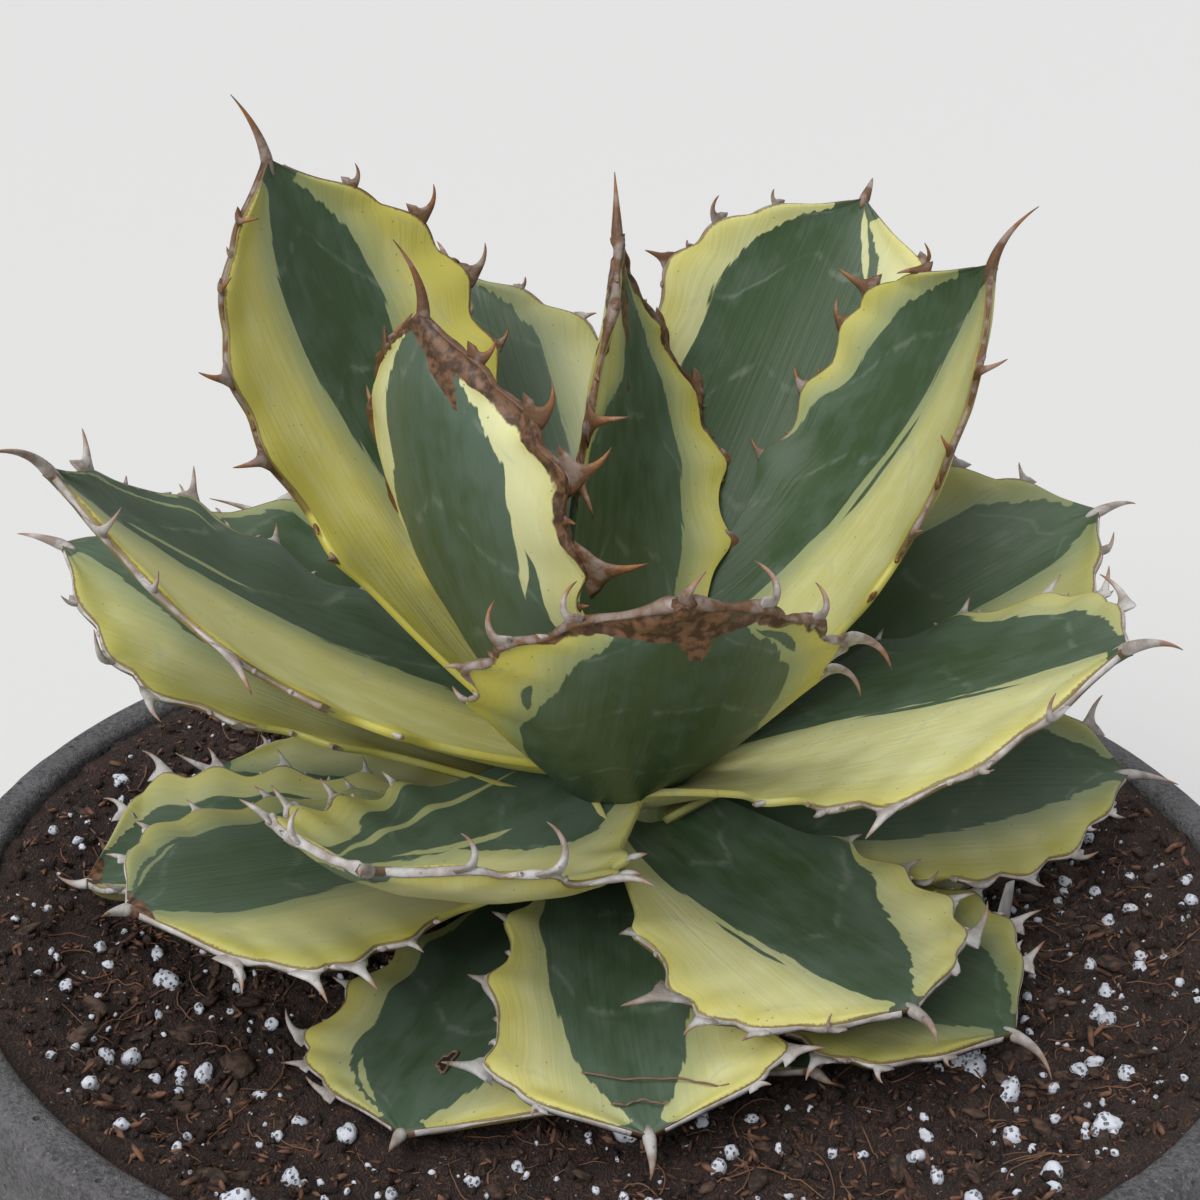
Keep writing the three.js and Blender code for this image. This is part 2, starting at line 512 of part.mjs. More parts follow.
// The stem, thicker all round by grow: a foot in the soil, a body that narrows upward, and the closed bud
// on it.
function stemSolid(grow = 0) {
  const foot = SOIL_LINE + STEM_FOOT - grow;
  const profile = [[0, foot], [STEM_FOOT_RADIUS + grow, foot]];
  for (let i = 0; i <= STEM_STEPS; i++) {
    const share = i / STEM_STEPS;
    const radius = mix(STEM_RADIUS, STEM_TOP_RADIUS, share ** STEM_TAPER);
    profile.push([radius + grow, SOIL_LINE + mix(STEM_SKIRT, STEM_TOP, share)]);
  }
  for (const [radius, height] of BUD_PROFILE) profile.push([radius + grow, SOIL_LINE + height]);
  profile.push([0, SOIL_LINE + BUD_TOP + POINT_CLEARANCE * grow]);
  return turnedSolid(profile, STEM_SIDES);
}

// The pot's outer wall at a height: a bowl that swells quickly above its foot.
function outerRadius(height) {
  return mix(FOOT_RADIUS, RIM_RADIUS, 1 - (1 - height / POT_HEIGHT) ** BELLY);
}

// The pot's inner wall at a height: thinner at the rim than below.
function innerRadius(height) {
  return outerRadius(height) - mix(WALL_THICKNESS, RIM_WIDTH, height / POT_HEIGHT);
}

// Evenly spaced heights of a wall's rings, from its bottom to its top.
function wallHeights(bottom, top) {
  return Array.from({ length: WALL_STEPS + 1 }, (_, i) => mix(bottom, top, i / WALL_STEPS));
}

// The pot: a turned bowl with round-edged rim and foot, and drain holes through its floor.
function potSolid() {
  const shoulder = POT_HEIGHT - RIM_ROUND;
  const outer = wallHeights(FOOT_ROUND, shoulder).map((height) => [outerRadius(height), height]);
  const inner = wallHeights(FLOOR_THICKNESS, shoulder).map((height) => [innerRadius(height), height]);
  const profile = [
    [0, 0],
    [FOOT_RADIUS - FOOT_ROUND, 0],
    ...outer,
    [RIM_RADIUS - RIM_ROUND, POT_HEIGHT],
    [RIM_RADIUS - RIM_WIDTH + RIM_ROUND, POT_HEIGHT],
    ...inner.reverse(),
    [0, FLOOR_THICKNESS],
  ];
  let pot = turnedSolid(profile, ROUND_SEGMENTS);
  for (let k = 0; k < DRAIN_COUNT; k++) {
    const turn = (2 * Math.PI * (k + 0.5)) / DRAIN_COUNT;
    const hole = new THREE.CylinderGeometry(DRAIN_RADIUS, DRAIN_RADIUS, 3 * FLOOR_THICKNESS, DRAIN_SIDES);
    hole.rotateX(Math.PI / 2).translate(DRAIN_CIRCLE * Math.cos(turn), DRAIN_CIRCLE * Math.sin(turn), 0);
    pot = pot.subtract(solidOf(hole));
  }
  return pot;
}

// Height of the soil: dished under the leaves, with bumps from slow waves of x and y, 32 to 57 mm long, and
// level with SOIL_LINE at the wall.
function soilHeight(x, y) {
  const radius = Math.hypot(x, y);
  const rise = smoothstep(radius, DISH_START, DISH_END);
  const crossed = Math.sin(x * 0.11 + 1.7) * Math.cos(y * 0.13);
  const slanted = Math.sin(x * 0.05 - y * 0.19);
  const bumps = crossed + SOIL_SLANT_SHARE * slanted;
  return SOIL_LINE - SOIL_DISH * (1 - rise) + SOIL_BUMP * bumps * (1 - rise);
}

// The soil: it fills the pot a gap clear of the wall and the floor, with a hole where the stem stands.
function soilSolid() {
  const bottom = FLOOR_THICKNESS + GAP;
  const profile = [[0, bottom]];
  for (const height of wallHeights(bottom, SOIL_LINE)) profile.push([innerRadius(height) - GAP, height]);
  for (const radius of [...SOIL_RINGS].reverse()) profile.push([radius, SOIL_LINE]);
  profile.push([0, SOIL_LINE]);
  const points = profile.map(([radius, height]) => new THREE.Vector2(radius, height));
  const geometry = new THREE.LatheGeometry(points, ROUND_SEGMENTS).rotateX(Math.PI / 2);
  const position = geometry.attributes.position;
  const topRadius = SOIL_RINGS[SOIL_RINGS.length - 1] + 1;
  for (let i = 0; i < position.count; i++) {
    const x = position.getX(i);
    const y = position.getY(i);
    const onTop = position.getZ(i) > SOIL_LINE - 1e-3 && Math.hypot(x, y) < topRadius;
    if (onTop) position.setZ(i, soilHeight(x, y));
  }
  return solidOf(geometry).subtract(stemSolid(GAP));
}

// Each leaf is cut clear of the stem and of the newer leaves that press on it near the heart.
function leafSolids() {
  const cutters = [];
  const stem = stemSolid(GAP);
  return LEAVES.map((leaf) => {
    let solid = leafSolid(leaf).subtract(stem);
    for (const cutter of cutters) solid = solid.subtract(cutter);
    cutters.push(leafSolid(leaf, GAP).add(leafSolid(leaf)));
    return biggestBody(solid);
  });
}

const plant = new THREE.Group();
plant.add(meshOf("stem", stemSolid(), 0xb9bd86, 0.6));
leafSolids().forEach((solid, order) => {
  const name = `leaf_${String(order).padStart(2, "0")}`;
  plant.add(meshOf(name, solid, 0x4f6b45, 0.45));
});

const group = new THREE.Group();
group.add(meshOf("pot", potSolid(), 0x7d7c7a, 0.9));
group.add(meshOf("soil", soilSolid(), 0x2e2019, 1));
group.add(plant);

export default group;
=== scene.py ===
# A potted snaggle tooth agave: one variegated rosette with toothed margins, in soil in a wide concrete bowl.
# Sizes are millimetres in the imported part's frame, and put_piece() writes them to the meshes in metres.
# Sizes in materials are metres, and grains are how many times a texture repeats in a metre.
import math

import bpy
import numpy as np
from mathutils import Matrix


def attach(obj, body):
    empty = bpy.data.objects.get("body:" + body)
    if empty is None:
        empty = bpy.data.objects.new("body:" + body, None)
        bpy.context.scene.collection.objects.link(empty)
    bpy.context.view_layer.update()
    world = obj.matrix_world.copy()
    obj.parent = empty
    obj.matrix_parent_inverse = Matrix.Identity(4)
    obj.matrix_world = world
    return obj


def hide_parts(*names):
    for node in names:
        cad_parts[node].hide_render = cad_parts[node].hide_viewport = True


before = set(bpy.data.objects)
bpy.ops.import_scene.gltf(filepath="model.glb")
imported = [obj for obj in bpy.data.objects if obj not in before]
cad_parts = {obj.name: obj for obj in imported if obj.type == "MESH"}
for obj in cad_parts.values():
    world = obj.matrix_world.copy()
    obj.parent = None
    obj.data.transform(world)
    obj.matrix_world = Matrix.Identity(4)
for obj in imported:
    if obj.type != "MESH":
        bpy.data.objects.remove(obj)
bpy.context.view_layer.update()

# The room: a pale floor that fills the view, under a dim even sky and three wide soft lights, from above,
# from the front left and from the back right. The camera stands in front of the bowl and looks down at it.
MM = 0.001
CAMERA_PLACE = (-6 * MM, -441 * MM, 401 * MM)
CAMERA_TILT = math.radians(90 - 21.7)
CAMERA_ROLL = math.radians(1.7)
LENS = 54
SENSOR = 36
CAMERA_REACH = 100
FLOOR_SIZE = 30
FLOOR_COLOR = (0.62, 0.615, 0.6)
FLOOR_ROUGHNESS = 0.8
SKY_COLOR = (0.93, 0.96, 1.0)
SKY_STRENGTH = 0.44
# name, turn in degrees, how wide the light looks in degrees, strength
LAMPS = [
    ("overhead", (4, -12, 0), 46, 1.4),
    ("front_left", (55, 0, -30), 30, 1.95),
    ("back_right", (-52, 0, -47), 30, 0.3),
]
# Sockets known by number, as others share their names: the Mix node's colours and the Map Range node's limits
MIX_ONE, MIX_OTHER, MIX_RESULT = 6, 7, 2
TO_LOW, TO_HIGH = 3, 4

camera_data = bpy.data.cameras.new("camera")
camera_data.lens = LENS
camera_data.sensor_width = SENSOR
camera_data.clip_end = CAMERA_REACH
camera = bpy.data.objects.new("camera", camera_data)
turn = Matrix.Rotation(CAMERA_TILT, 4, "X") @ Matrix.Rotation(CAMERA_ROLL, 4, "Z")
camera.matrix_world = Matrix.Translation(CAMERA_PLACE) @ turn
bpy.context.collection.objects.link(camera)
bpy.context.scene.camera = camera
bpy.context.scene.view_settings.view_transform = "Standard"

for name, degrees, breadth, strength in LAMPS:
    lamp_data = bpy.data.lights.new(name, "SUN")
    lamp_data.angle = math.radians(breadth)
    lamp_data.energy = strength
    lamp = bpy.data.objects.new(name, lamp_data)
    lamp.rotation_euler = [math.radians(angle) for angle in degrees]
    bpy.context.collection.objects.link(lamp)

sky = bpy.data.worlds.new("sky")
sky.use_nodes = True
sky.node_tree.nodes["Background"].inputs["Color"].default_value = (*SKY_COLOR, 1)
sky.node_tree.nodes["Background"].inputs["Strength"].default_value = SKY_STRENGTH
bpy.context.scene.world = sky


def put_piece(name, points, faces, paints, face_paints=None, values=None, skin=None):
    """A smooth mesh of points in millimetres, with paints, point attributes and a UV map named skin."""
    mesh = bpy.data.meshes.new(name)
    mesh.from_pydata((np.asarray(points) * MM).tolist(), [], faces)
    mesh.shade_smooth()
    for paint in paints:
        mesh.materials.append(paint)
    if face_paints is not None:
        mesh.polygons.foreach_set("material_index", face_paints)
    for key, value in (values or {}).items():
        kind, field = ("FLOAT", "value") if value.ndim == 1 else ("FLOAT_VECTOR", "vector")
        layer = mesh.attributes.new(key, kind, "POINT")
        layer.data.foreach_set(field, value.astype(np.float32).ravel())
    if skin is not None:
        corners = np.empty(len(mesh.loops), np.int32)
        mesh.loops.foreach_get("vertex_index", corners)
        mesh.uv_layers.new(name="skin").data.foreach_set("uv", skin[corners].astype(np.float32).ravel())
    piece = bpy.data.objects.new(name, mesh)
    bpy.context.collection.objects.link(piece)
    return piece


class Paint:
    """A procedural material and short ways to add nodes to it."""

    def __init__(self, name):
        self.material = bpy.data.materials.new(name)
        self.material.use_nodes = True
        self.tree = self.material.node_tree
        self.shader = self.tree.nodes["Principled BSDF"]

    def plug(self, socket, value):
        """Links a socket to another node's output, or sets its number or colour."""
        if isinstance(value, bpy.types.NodeSocket):
            self.tree.links.new(value, socket)
        elif isinstance(value, tuple) and len(value) == 3 and socket.type == "RGBA":
            socket.default_value = (*value, 1)
        else:
            socket.default_value = value

    def node(self, kind, settings=None, **inputs):
        """Adds a node. An input named in_0 is its first socket, and any other name is the socket's own."""
        made = self.tree.nodes.new("ShaderNode" + kind)
        for key, value in (settings or {}).items():
            setattr(made, key, value)
        for key, value in inputs.items():
            socket = made.inputs[int(key[3:])] if key.startswith("in_") else made.inputs[key]
            self.plug(socket, value)
        return made

    def math(self, operation, one, other=0.0):
        return self.node("Math", {"operation": operation}, in_0=one, in_1=other).outputs[0]

    def add(self, one, other):
        return self.math("ADD", one, other)

    def times(self, one, other):
        return self.math("MULTIPLY", one, other)

    def swing(self, noise, size):
        """A noise of 0 to 1 as a swing about 0, size from end to end."""
        return self.times(self.math("SUBTRACT", noise, 0.5), size)

    def blend(self, share, one, other):
        """Colour one where share is 0, the other where it is 1."""
        made = self.node("Mix", {"data_type": "RGBA", "clamp_factor": True}, in_0=share)
        self.plug(made.inputs[MIX_ONE], one)
        self.plug(made.inputs[MIX_OTHER], other)
        return made.outputs[MIX_RESULT]

    def step(self, value, low, high, to_low=0.0, to_high=1.0):
        """Goes smoothly from to_low to to_high while value goes from low to high."""
        made = self.node("MapRange", {"interpolation_type": "SMOOTHSTEP"}, in_0=value, in_1=low, in_2=high)
        self.plug(made.inputs[TO_LOW], to_low)
        self.plug(made.inputs[TO_HIGH], to_high)
        return made.outputs[0]

    def place(self, scale=(1, 1, 1)):
        """Object coordinates in metres, scaled."""
        source = self.node("TexCoord").outputs["Object"]
        return self.node("Mapping", Vector=source, Scale=scale).outputs[0]

    def on_skin(self, along, across):
        """The skin map, where a pattern of size 1 becomes so many millimetres along and across the leaf."""
        source = self.node("UVMap", {"uv_map": "skin"}).outputs[0]
        return self.node("Mapping", Vector=source, Scale=(1 / along, 1 / across, 1)).outputs[0]

    def noise(self, where, grain, detail=3.0, roughness=0.55):
        """Soft noise of 0 to 1, with so many finer octaves, each roughness times as strong as the last."""
        made = self.node("TexNoise", Vector=where, Scale=grain, Detail=detail, Roughness=roughness)
        return made.outputs["Fac"]

    def cells(self, where, grain):
        """Distance to the nearest of many scattered points."""
        return self.node("TexVoronoi", Vector=where, Scale=grain).outputs["Distance"]

    def attribute(self, name):
        return self.node("Attribute", {"attribute_name": name}).outputs["Fac"]

    def bump(self, height, depth):
        """Raises the surface by height times depth metres."""
        return self.node("Bump", Height=height, Distance=depth, Strength=1.0).outputs[0]

    def finish(self, color, roughness, normal=None):
        self.plug(self.shader.inputs["Base Color"], color)
        self.plug(self.shader.inputs["Roughness"], roughness)
        if normal is not None:
            self.plug(self.shader.inputs["Normal"], normal)
        return self.material


floor_paint = Paint("floor_paint")
floor_material = floor_paint.finish(FLOOR_COLOR, FLOOR_ROUGHNESS)
half_floor = FLOOR_SIZE / 2 / MM
floor_points = [(x * half_floor, y * half_floor, 0) for x, y in ((-1, -1), (1, -1), (1, 1), (-1, 1))]
floor = put_piece("floor", floor_points, [(0, 1, 2, 3)], [floor_material])

# The pot: a wide bowl cast in grey concrete, with a rounded rim and foot and four drain holes. It is turned
# from one profile, and its face is sandy, with grit, stains and the pits that air bubbles leave in a mould.
# The pits are painted near black, as painted shade in their hollows.
POT_HEIGHT = 150
RIM_RADIUS = 181
RIM_WIDTH = 11
RIM_ROUND = 3.5
FOOT_RADIUS = 126
FOOT_ROUND = 4
WALL_THICKNESS = 13
FLOOR_THICKNESS = 16
BELLY = 1.9
WALL_STEPS = 44
ROUND_STEPS = 6
POT_SEGMENTS = 192
DRAIN_RADIUS = 7
DRAIN_CIRCLE = 62
DRAIN_COUNT = 4
DRAIN_SIDES = 24
SHARP_EDGE = math.radians(50)
FOOT_RINGS = (FOOT_RADIUS / 3, DRAIN_CIRCLE, FOOT_RADIUS * 0.8)
LATTICE = 32
# Lumps that put the casting out of true: height and size in mm, seed
POT_LUMPS = [(0.3, 26, 3), (0.25, 6, 4), (0.15, 3, 5)]
STAIN_GRAIN = 45
SAND_GRAIN = 620
GRIT_GRAIN = 520
PIT_GRAIN = 210
PIT_GROUP_GRAIN = 60
SAND_DEPTH = 0.0016
CONCRETE_DARK = (0.040, 0.037, 0.039)
CONCRETE_PALE = (0.125, 0.119, 0.124)
CONCRETE_GRIT = (0.26, 0.25, 0.26)
CONCRETE_PIT_SHADE = (0.018, 0.016, 0.016)


def mix(low, high, share):
    return low + (high - low) * share


def ease(value, low, high):
    """0 below low, 1 above high, and a smooth S between them."""
    share = np.clip((value - low) / (high - low), 0, 1)
    return share * share * (3 - 2 * share)


def lumps(points, size, seed):
    """Soft random lumps from -1 to 1, about size across: a lattice of seeded numbers, blended smoothly."""
    lattice = np.random.default_rng(seed).uniform(-1, 1, (LATTICE, LATTICE, LATTICE))
    grid = np.asarray(points, float) / size
    low = np.floor(grid).astype(int)
    share = grid - low
    share = share * share * (3 - 2 * share)
    total = np.zeros(grid.shape[:-1])
    for corner in range(8):
        step = np.array([corner & 1, corner >> 1 & 1, corner >> 2 & 1])
        weight = np.prod(np.where(step, share, 1 - share), axis=-1)
        spot = (low + step) % LATTICE
        total += weight * lattice[spot[..., 0], spot[..., 1], spot[..., 2]]
    return total


def all_lumps(points, table):
    """The sum of lumps of several sizes, from rows of height, size and seed."""
    return sum(height * lumps(points, size, seed) for height, size, seed in table)


def outer_radius(height):
    """The pot's outer wall: a bowl that swells quickly above its foot."""
    return mix(FOOT_RADIUS, RIM_RADIUS, 1 - (1 - height / POT_HEIGHT) ** BELLY)


def inner_radius(height):
    """The pot's inner wall: a little thinner at the rim than below."""
    return outer_radius(height) - mix(WALL_THICKNESS, RIM_WIDTH, height / POT_HEIGHT)


def quarter(centre_radius, centre_height, round_radius, start):
    """A quarter circle of a profile, turning left from start degrees."""
    angle = np.radians(start + np.linspace(0, 90, ROUND_STEPS + 1))
    radius = centre_radius + round_radius * np.cos(angle)
    return np.stack([radius, centre_height + round_radius * np.sin(angle)], 1)


def ring_faces(rings, segments):
    """Quads between neighbouring rings of points, each closed on itself, facing out for rings that go up."""
    ring, seat = np.meshgrid(np.arange(rings - 1), np.arange(segments), indexing="ij")
    here = ring * segments + seat
    beside = ring * segments + (seat + 1) % segments
    return np.stack([here, beside, beside + segments, here + segments], -1).reshape(-1, 4).tolist()


def turned(profile, segments):
    """Points and faces of a profile of radius and height, from the axis and back to it, turned about +Z."""
    angle = 2 * np.pi * np.arange(segments) / segments
    radius, height = profile[1:-1, 0, None], profile[1:-1, 1, None]
    points = np.stack([radius * np.cos(angle), radius * np.sin(angle), height + 0 * angle], -1).reshape(-1, 3)
    rings = len(profile) - 2
    faces = ring_faces(rings, segments)
    ends = np.array([[0, 0, profile[0, 1]], [0, 0, profile[-1, 1]]])
    bottom, top = len(points), len(points) + 1
    last = (rings - 1) * segments
    for seat in range(segments):
        beside = (seat + 1) % segments
        faces.append((bottom, beside, seat))
        faces.append((top, last + seat, last + beside))
    return np.vstack([points, ends]), faces


heights = np.linspace(FOOT_ROUND, POT_HEIGHT - RIM_ROUND, WALL_STEPS + 1)
outer_wall = np.stack([outer_radius(heights), heights], 1)
heights = np.linspace(POT_HEIGHT - RIM_ROUND, FLOOR_THICKNESS, WALL_STEPS + 1)
inner_wall = np.stack([inner_radius(heights), heights], 1)
pot_profile = np.vstack([
    [[0, 0], *([radius, 0] for radius in FOOT_RINGS)],
    quarter(outer_wall[0, 0] - FOOT_ROUND, FOOT_ROUND, FOOT_ROUND, -90),
    outer_wall[1:-1],
    quarter(outer_wall[-1, 0] - RIM_ROUND, POT_HEIGHT - RIM_ROUND, RIM_ROUND, 0),
    quarter(inner_wall[0, 0] + RIM_ROUND, POT_HEIGHT - RIM_ROUND, RIM_ROUND, 90),
    inner_wall[1:],
    [[0, FLOOR_THICKNESS]],
])
pot_points, pot_faces = turned(pot_profile, POT_SEGMENTS)
pot_points[:, :2] *= (1 + all_lumps(pot_points, POT_LUMPS) / RIM_RADIUS)[:, None]

concrete = Paint("concrete")
where = concrete.place()
stains = concrete.noise(where, STAIN_GRAIN, 5, 0.7)
sand = concrete.noise(where, SAND_GRAIN, 3, 0.75)
grit = concrete.step(concrete.cells(where, GRIT_GRAIN), 0.2, 0.08, 0.0, 0.5)
pits = concrete.step(concrete.cells(where, PIT_GRAIN), 0.2, 0.09, 0.0, 0.8)
pits = concrete.times(pits, concrete.step(concrete.noise(where, PIT_GROUP_GRAIN, 2), 0.48, 0.56))
gray = concrete.blend(concrete.step(stains, 0.3, 0.7), CONCRETE_DARK, CONCRETE_PALE)
gray = concrete.blend(concrete.step(sand, 0.42, 0.62, 0.0, 0.8), gray, CONCRETE_PALE)
gray = concrete.blend(concrete.step(sand, 0.5, 0.36, 0.0, 0.7), gray, CONCRETE_DARK)
gray = concrete.blend(grit, gray, CONCRETE_GRIT)
# Painted shade: the pits are painted near black, as the shade inside their hollows.
gray = concrete.blend(pits, gray, CONCRETE_PIT_SHADE)
roughness = concrete.step(sand, 0.3, 0.7, 0.8, 0.98)
normal = concrete.bump(concrete.math("SUBTRACT", sand, pits), SAND_DEPTH)
concrete_material = concrete.finish(gray, roughness, normal)
pot = put_piece("concrete_bowl", pot_points, pot_faces, [concrete_material])
drain_low, drain_high = -FLOOR_THICKNESS, 2 * FLOOR_THICKNESS
drain_profile = np.array([
    (0, drain_low), (DRAIN_RADIUS, drain_low), (DRAIN_RADIUS, drain_high), (0, drain_high),
], float)
drain_points, drain_faces = turned(drain_profile, DRAIN_SIDES)
drains = []
for k in range(DRAIN_COUNT):
    turn = 2 * math.pi * (k + 0.5) / DRAIN_COUNT
    centre = np.array([DRAIN_CIRCLE * math.cos(turn), DRAIN_CIRCLE * math.sin(turn), 0])
    drain = put_piece(f"drain_{k}", drain_points + centre, drain_faces, [concrete_material])
    cut = pot.modifiers.new(drain.name, "BOOLEAN")
    cut.object = drain
    drains.append(drain)
bored = bpy.data.meshes.new_from_object(pot.evaluated_get(bpy.context.evaluated_depsgraph_get()))
pot.modifiers.clear()
pot.data = bored
pot.data.set_sharp_from_angle(angle=SHARP_EDGE)
for drain in drains:
    bpy.data.objects.remove(drain)
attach(pot, "root")
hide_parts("pot")

# The soil: dark brown coir and peat, dished round the plant and crumbly. It fills the bowl as one closed
# body, whose top is raised and sunk by lumps of three sizes.
GAP = 0.3
SOIL_LINE = POT_HEIGHT - 4
SOIL_DISH = 12
DISH_START = 135
DISH_END = 168
SOIL_SEGMENTS = 330
SOIL_RINGS = 145
SOIL_SIDE_STEPS = 6
SOIL_RING_POWER = 0.8
SOIL_SHOULDER = 1.5
SOIL_BUMP = 0.8
# Crumbs of soil: height and size in mm, seed. They are low near the stem and grow to full height further out.
SOIL_LUMPS = [(0.9, 6.5, 11), (0.9, 2.9, 12), (0.4, 1.4, 13)]
CRUMB_SINK = 0.5
CRUMB_LEAST = 0.4
CRUMB_START, CRUMB_FULL = 40, 70
PATCH_GRAIN = 130
PEAT_GRAIN = 900
THREAD_GRAIN = 240.0
SALT_GRAIN = 330
PEAT_DEPTH = 0.0016
PEAT_DARK_AND_SHADE = (0.007, 0.0045, 0.004)
PEAT_BROWN = (0.036, 0.017, 0.012)
COIR_RUST = (0.15, 0.068, 0.038)
SALT_WHITE = (0.35, 0.35, 0.38)


def soil_height(x, y):
    """Height of the soil at a place: SOIL_LINE at the wall, dished inside, with gentle bumps and crumbs."""
    radius = np.hypot(x, y)
    dished = 1 - ease(radius, DISH_START, DISH_END)
    bumps = np.sin(x * 0.11 + 1.7) * np.cos(y * 0.13) + 0.6 * np.sin(x * 0.05 - y * 0.19)
    spot = np.stack([x, y, 0 * x], -1)
    share = mix(CRUMB_LEAST, 1.0, ease(radius, CRUMB_START, CRUMB_FULL))
    crumbs = (all_lumps(spot, SOIL_LUMPS) - CRUMB_SINK) * share
    return SOIL_LINE - SOIL_DISH * dished + SOIL_BUMP * bumps * dished + crumbs


soil_wall = inner_radius(SOIL_LINE) - GAP
side_heights = np.linspace(FLOOR_THICKNESS + GAP, SOIL_LINE - SOIL_SHOULDER, SOIL_SIDE_STEPS + 1)
side = np.stack([inner_radius(side_heights) - GAP, side_heights], 1)
top_radii = soil_wall * np.linspace(1, 0, SOIL_RINGS + 1) ** SOIL_RING_POWER
top = np.stack([top_radii, np.full(SOIL_RINGS + 1, SOIL_LINE)], 1)
soil_profile = np.vstack([[[0, FLOOR_THICKNESS + GAP]], side, top])
soil_points, soil_faces = turned(soil_profile, SOIL_SEGMENTS)
on_top = soil_points[:, 2] == SOIL_LINE
soil_points[on_top, 2] = soil_height(soil_points[on_top, 0], soil_points[on_top, 1])

peat = Paint("peat")
where = peat.place()
patches = peat.noise(where, PATCH_GRAIN, 4, 0.65)
crumb = peat.noise(where, PEAT_GRAIN, 4, 0.75)
threads = peat.node("TexWave", Vector=where, Scale=THREAD_GRAIN, Distortion=22.0, Detail=3.0).outputs["Fac"]
# The peat is darkest where the crumb noise, which also sets the bump, is low: dark peat together with painted
# shade in the hollows between crumbs. The brown is also set darker, as painted shade over the soil.
brown = peat.blend(peat.step(crumb, 0.36, 0.66), PEAT_DARK_AND_SHADE, PEAT_BROWN)
rusty = peat.times(peat.step(patches, 0.5, 0.72), peat.step(crumb, 0.45, 0.6))
brown = peat.blend(rusty, brown, COIR_RUST)
brown = peat.blend(peat.step(threads, 0.86, 0.98, 0.0, 0.5), brown, COIR_RUST)
salt = peat.step(peat.cells(where, SALT_GRAIN), 0.1, 0.06, 0.0, 0.8)
brown = peat.blend(salt, brown, SALT_WHITE)
height = peat.add(crumb, peat.times(threads, 0.2))
peat_material = peat.finish(brown, peat.step(crumb, 0.3, 0.7, 0.72, 0.95), peat.bump(height, PEAT_DEPTH))
soil = put_piece("potting_soil", soil_points, soil_faces, [peat_material])
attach(soil, "root")
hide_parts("soil")

# The stem: a short thick caudex of pale waxy green, with the closed bud of the youngest leaves on it. Nearly
# all of it is behind leaf bases. It is turned, and the bud's wrapped leaves show as shallow spiral creases.
# STEM_PROFILE lists radius and height over the soil line, upward.
STEM_PROFILE = np.array([
    (0, -44), (15, -44), (25, -16), (24.6, -8), (23.4, 0), (21, 11), (18, 22), (14.5, 33), (10, 42),
    (8.3, 44.5), (7, 47), (6.4, 53), (5.5, 59), (3.4, 66), (0, 72),
])
STEM_STEPS = 90
STEM_SEGMENTS = 64
CREASES = 3
CREASE_TURN = 0.045
CREASE_DEPTH = 0.06
CREASE_POWER = 0.35
TONE_GRAIN = 60
WAX_GRAIN = 700
WAX_DEPTH = 0.0004
WAX_GREEN = (0.16, 0.19, 0.07)
WAX_CREAM = (0.42, 0.42, 0.19)

length_along = np.concatenate([[0], np.cumsum(np.hypot(*np.diff(STEM_PROFILE, axis=0).T))])
even = np.linspace(0, length_along[-1], STEM_STEPS)
stem_profile = np.stack([np.interp(even, length_along, STEM_PROFILE[:, k]) for k in (0, 1)], 1)
stem_profile[:, 1] += SOIL_LINE
stem_points, stem_faces = turned(stem_profile, STEM_SEGMENTS)
stem_turn = np.arctan2(stem_points[:, 1], stem_points[:, 0])
crease = np.abs(np.sin(CREASES / 2 * (stem_turn - CREASE_TURN * stem_points[:, 2]))) ** CREASE_POWER
stem_points[:, :2] *= (1 - CREASE_DEPTH + CREASE_DEPTH * crease)[:, None]

wax = Paint("stem_wax")
tone = wax.noise(wax.place(), TONE_GRAIN, 4)
fine = wax.noise(wax.place(scale=(1, 1, 0.15)), WAX_GRAIN, 3)
color = wax.blend(wax.step(tone, 0.35, 0.65), WAX_GREEN, WAX_CREAM)
stem_material = wax.finish(color, wax.step(fine, 0.3, 0.7, 0.4, 0.6), wax.bump(fine, WAX_DEPTH))
stem = put_piece("stem_and_bud", stem_points, stem_faces, [stem_material])
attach(stem, "root")
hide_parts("stem")

# The leaves: thick waxy blades, yellow to cream along both margins and bluish green between, from the newest
# in the heart to the oldest on the soil. Margins and tips end in horn. Each blade is walked out along its
# midrib. Lengths are millimetres, and places along a leaf are shares of its length.
ROOT_RADIUS = 8
ROOT_WIDTH_SHARE = 0.42
ROOT_THICKNESS = 6.5
TIP_THICKNESS = 2.6
MARGIN_THICKNESS = 1.9
THICKNESS_POWER = 1.3
OPENING_POWER = 1.3
CLOSING_POWERS = (2.3, 1.2)
TRIM_PLACES = (0.62, 0.95)
FLATTEST_CUP = 1e-3
MIDRIB_STEPS = 60
# The scallop under every tooth
HUMP_HEIGHT = 4.4
HUMP_SPREAD = 0.045
HUMP_VALLEY = 1.6
HUMP_START = (0.1, 0.35)
HUMP_END = (0.92, 0.97)
PUCKER = 2.0
PUCKER_POWERS = (3, 12)
# Soft waves of the blade: height, size along it, how many in half its width, shift from leaf to leaf, seed
FLOW = (0.35, 26, 5, 3.7, 21)
RIPPLE = (0.14, 11, 16, 5.1, 22)
FLAT_POWER = 4
# Dead patches crumple by the same kind of wave, but their second size counts in millimetres too
CRUMPLE = (1.3, 4.5, 1 / 4.5, 2.9, 23)
CRUMPLE_EDGE = (-1, 1.5)
BLADE_ROWS = 80
TIP_ROWS = 18
TIP_START = 0.9
BLADE_END = 0.997
BLADE_COLUMNS = 31
GREEN_PLACES = (0, 0.2, 0.45, 0.7, 0.93, 1)
TIP_GREEN = (0.955, 0.99)
TIP_GREEN_WIDTH = 8
STREAK_NUMBERS = (1, 2)
STREAK_TAPER = 5
FAR_STREAK = 60
NO_SCAR = -9.0
SCAR_POINT = 0.3
# An imprint is a line across the blade: its place, its bend and how fast, its wave and how many
IMPRINT = (0.5, 0.16, 2.2, 0.02, 11)
SKIN_STEP = 400
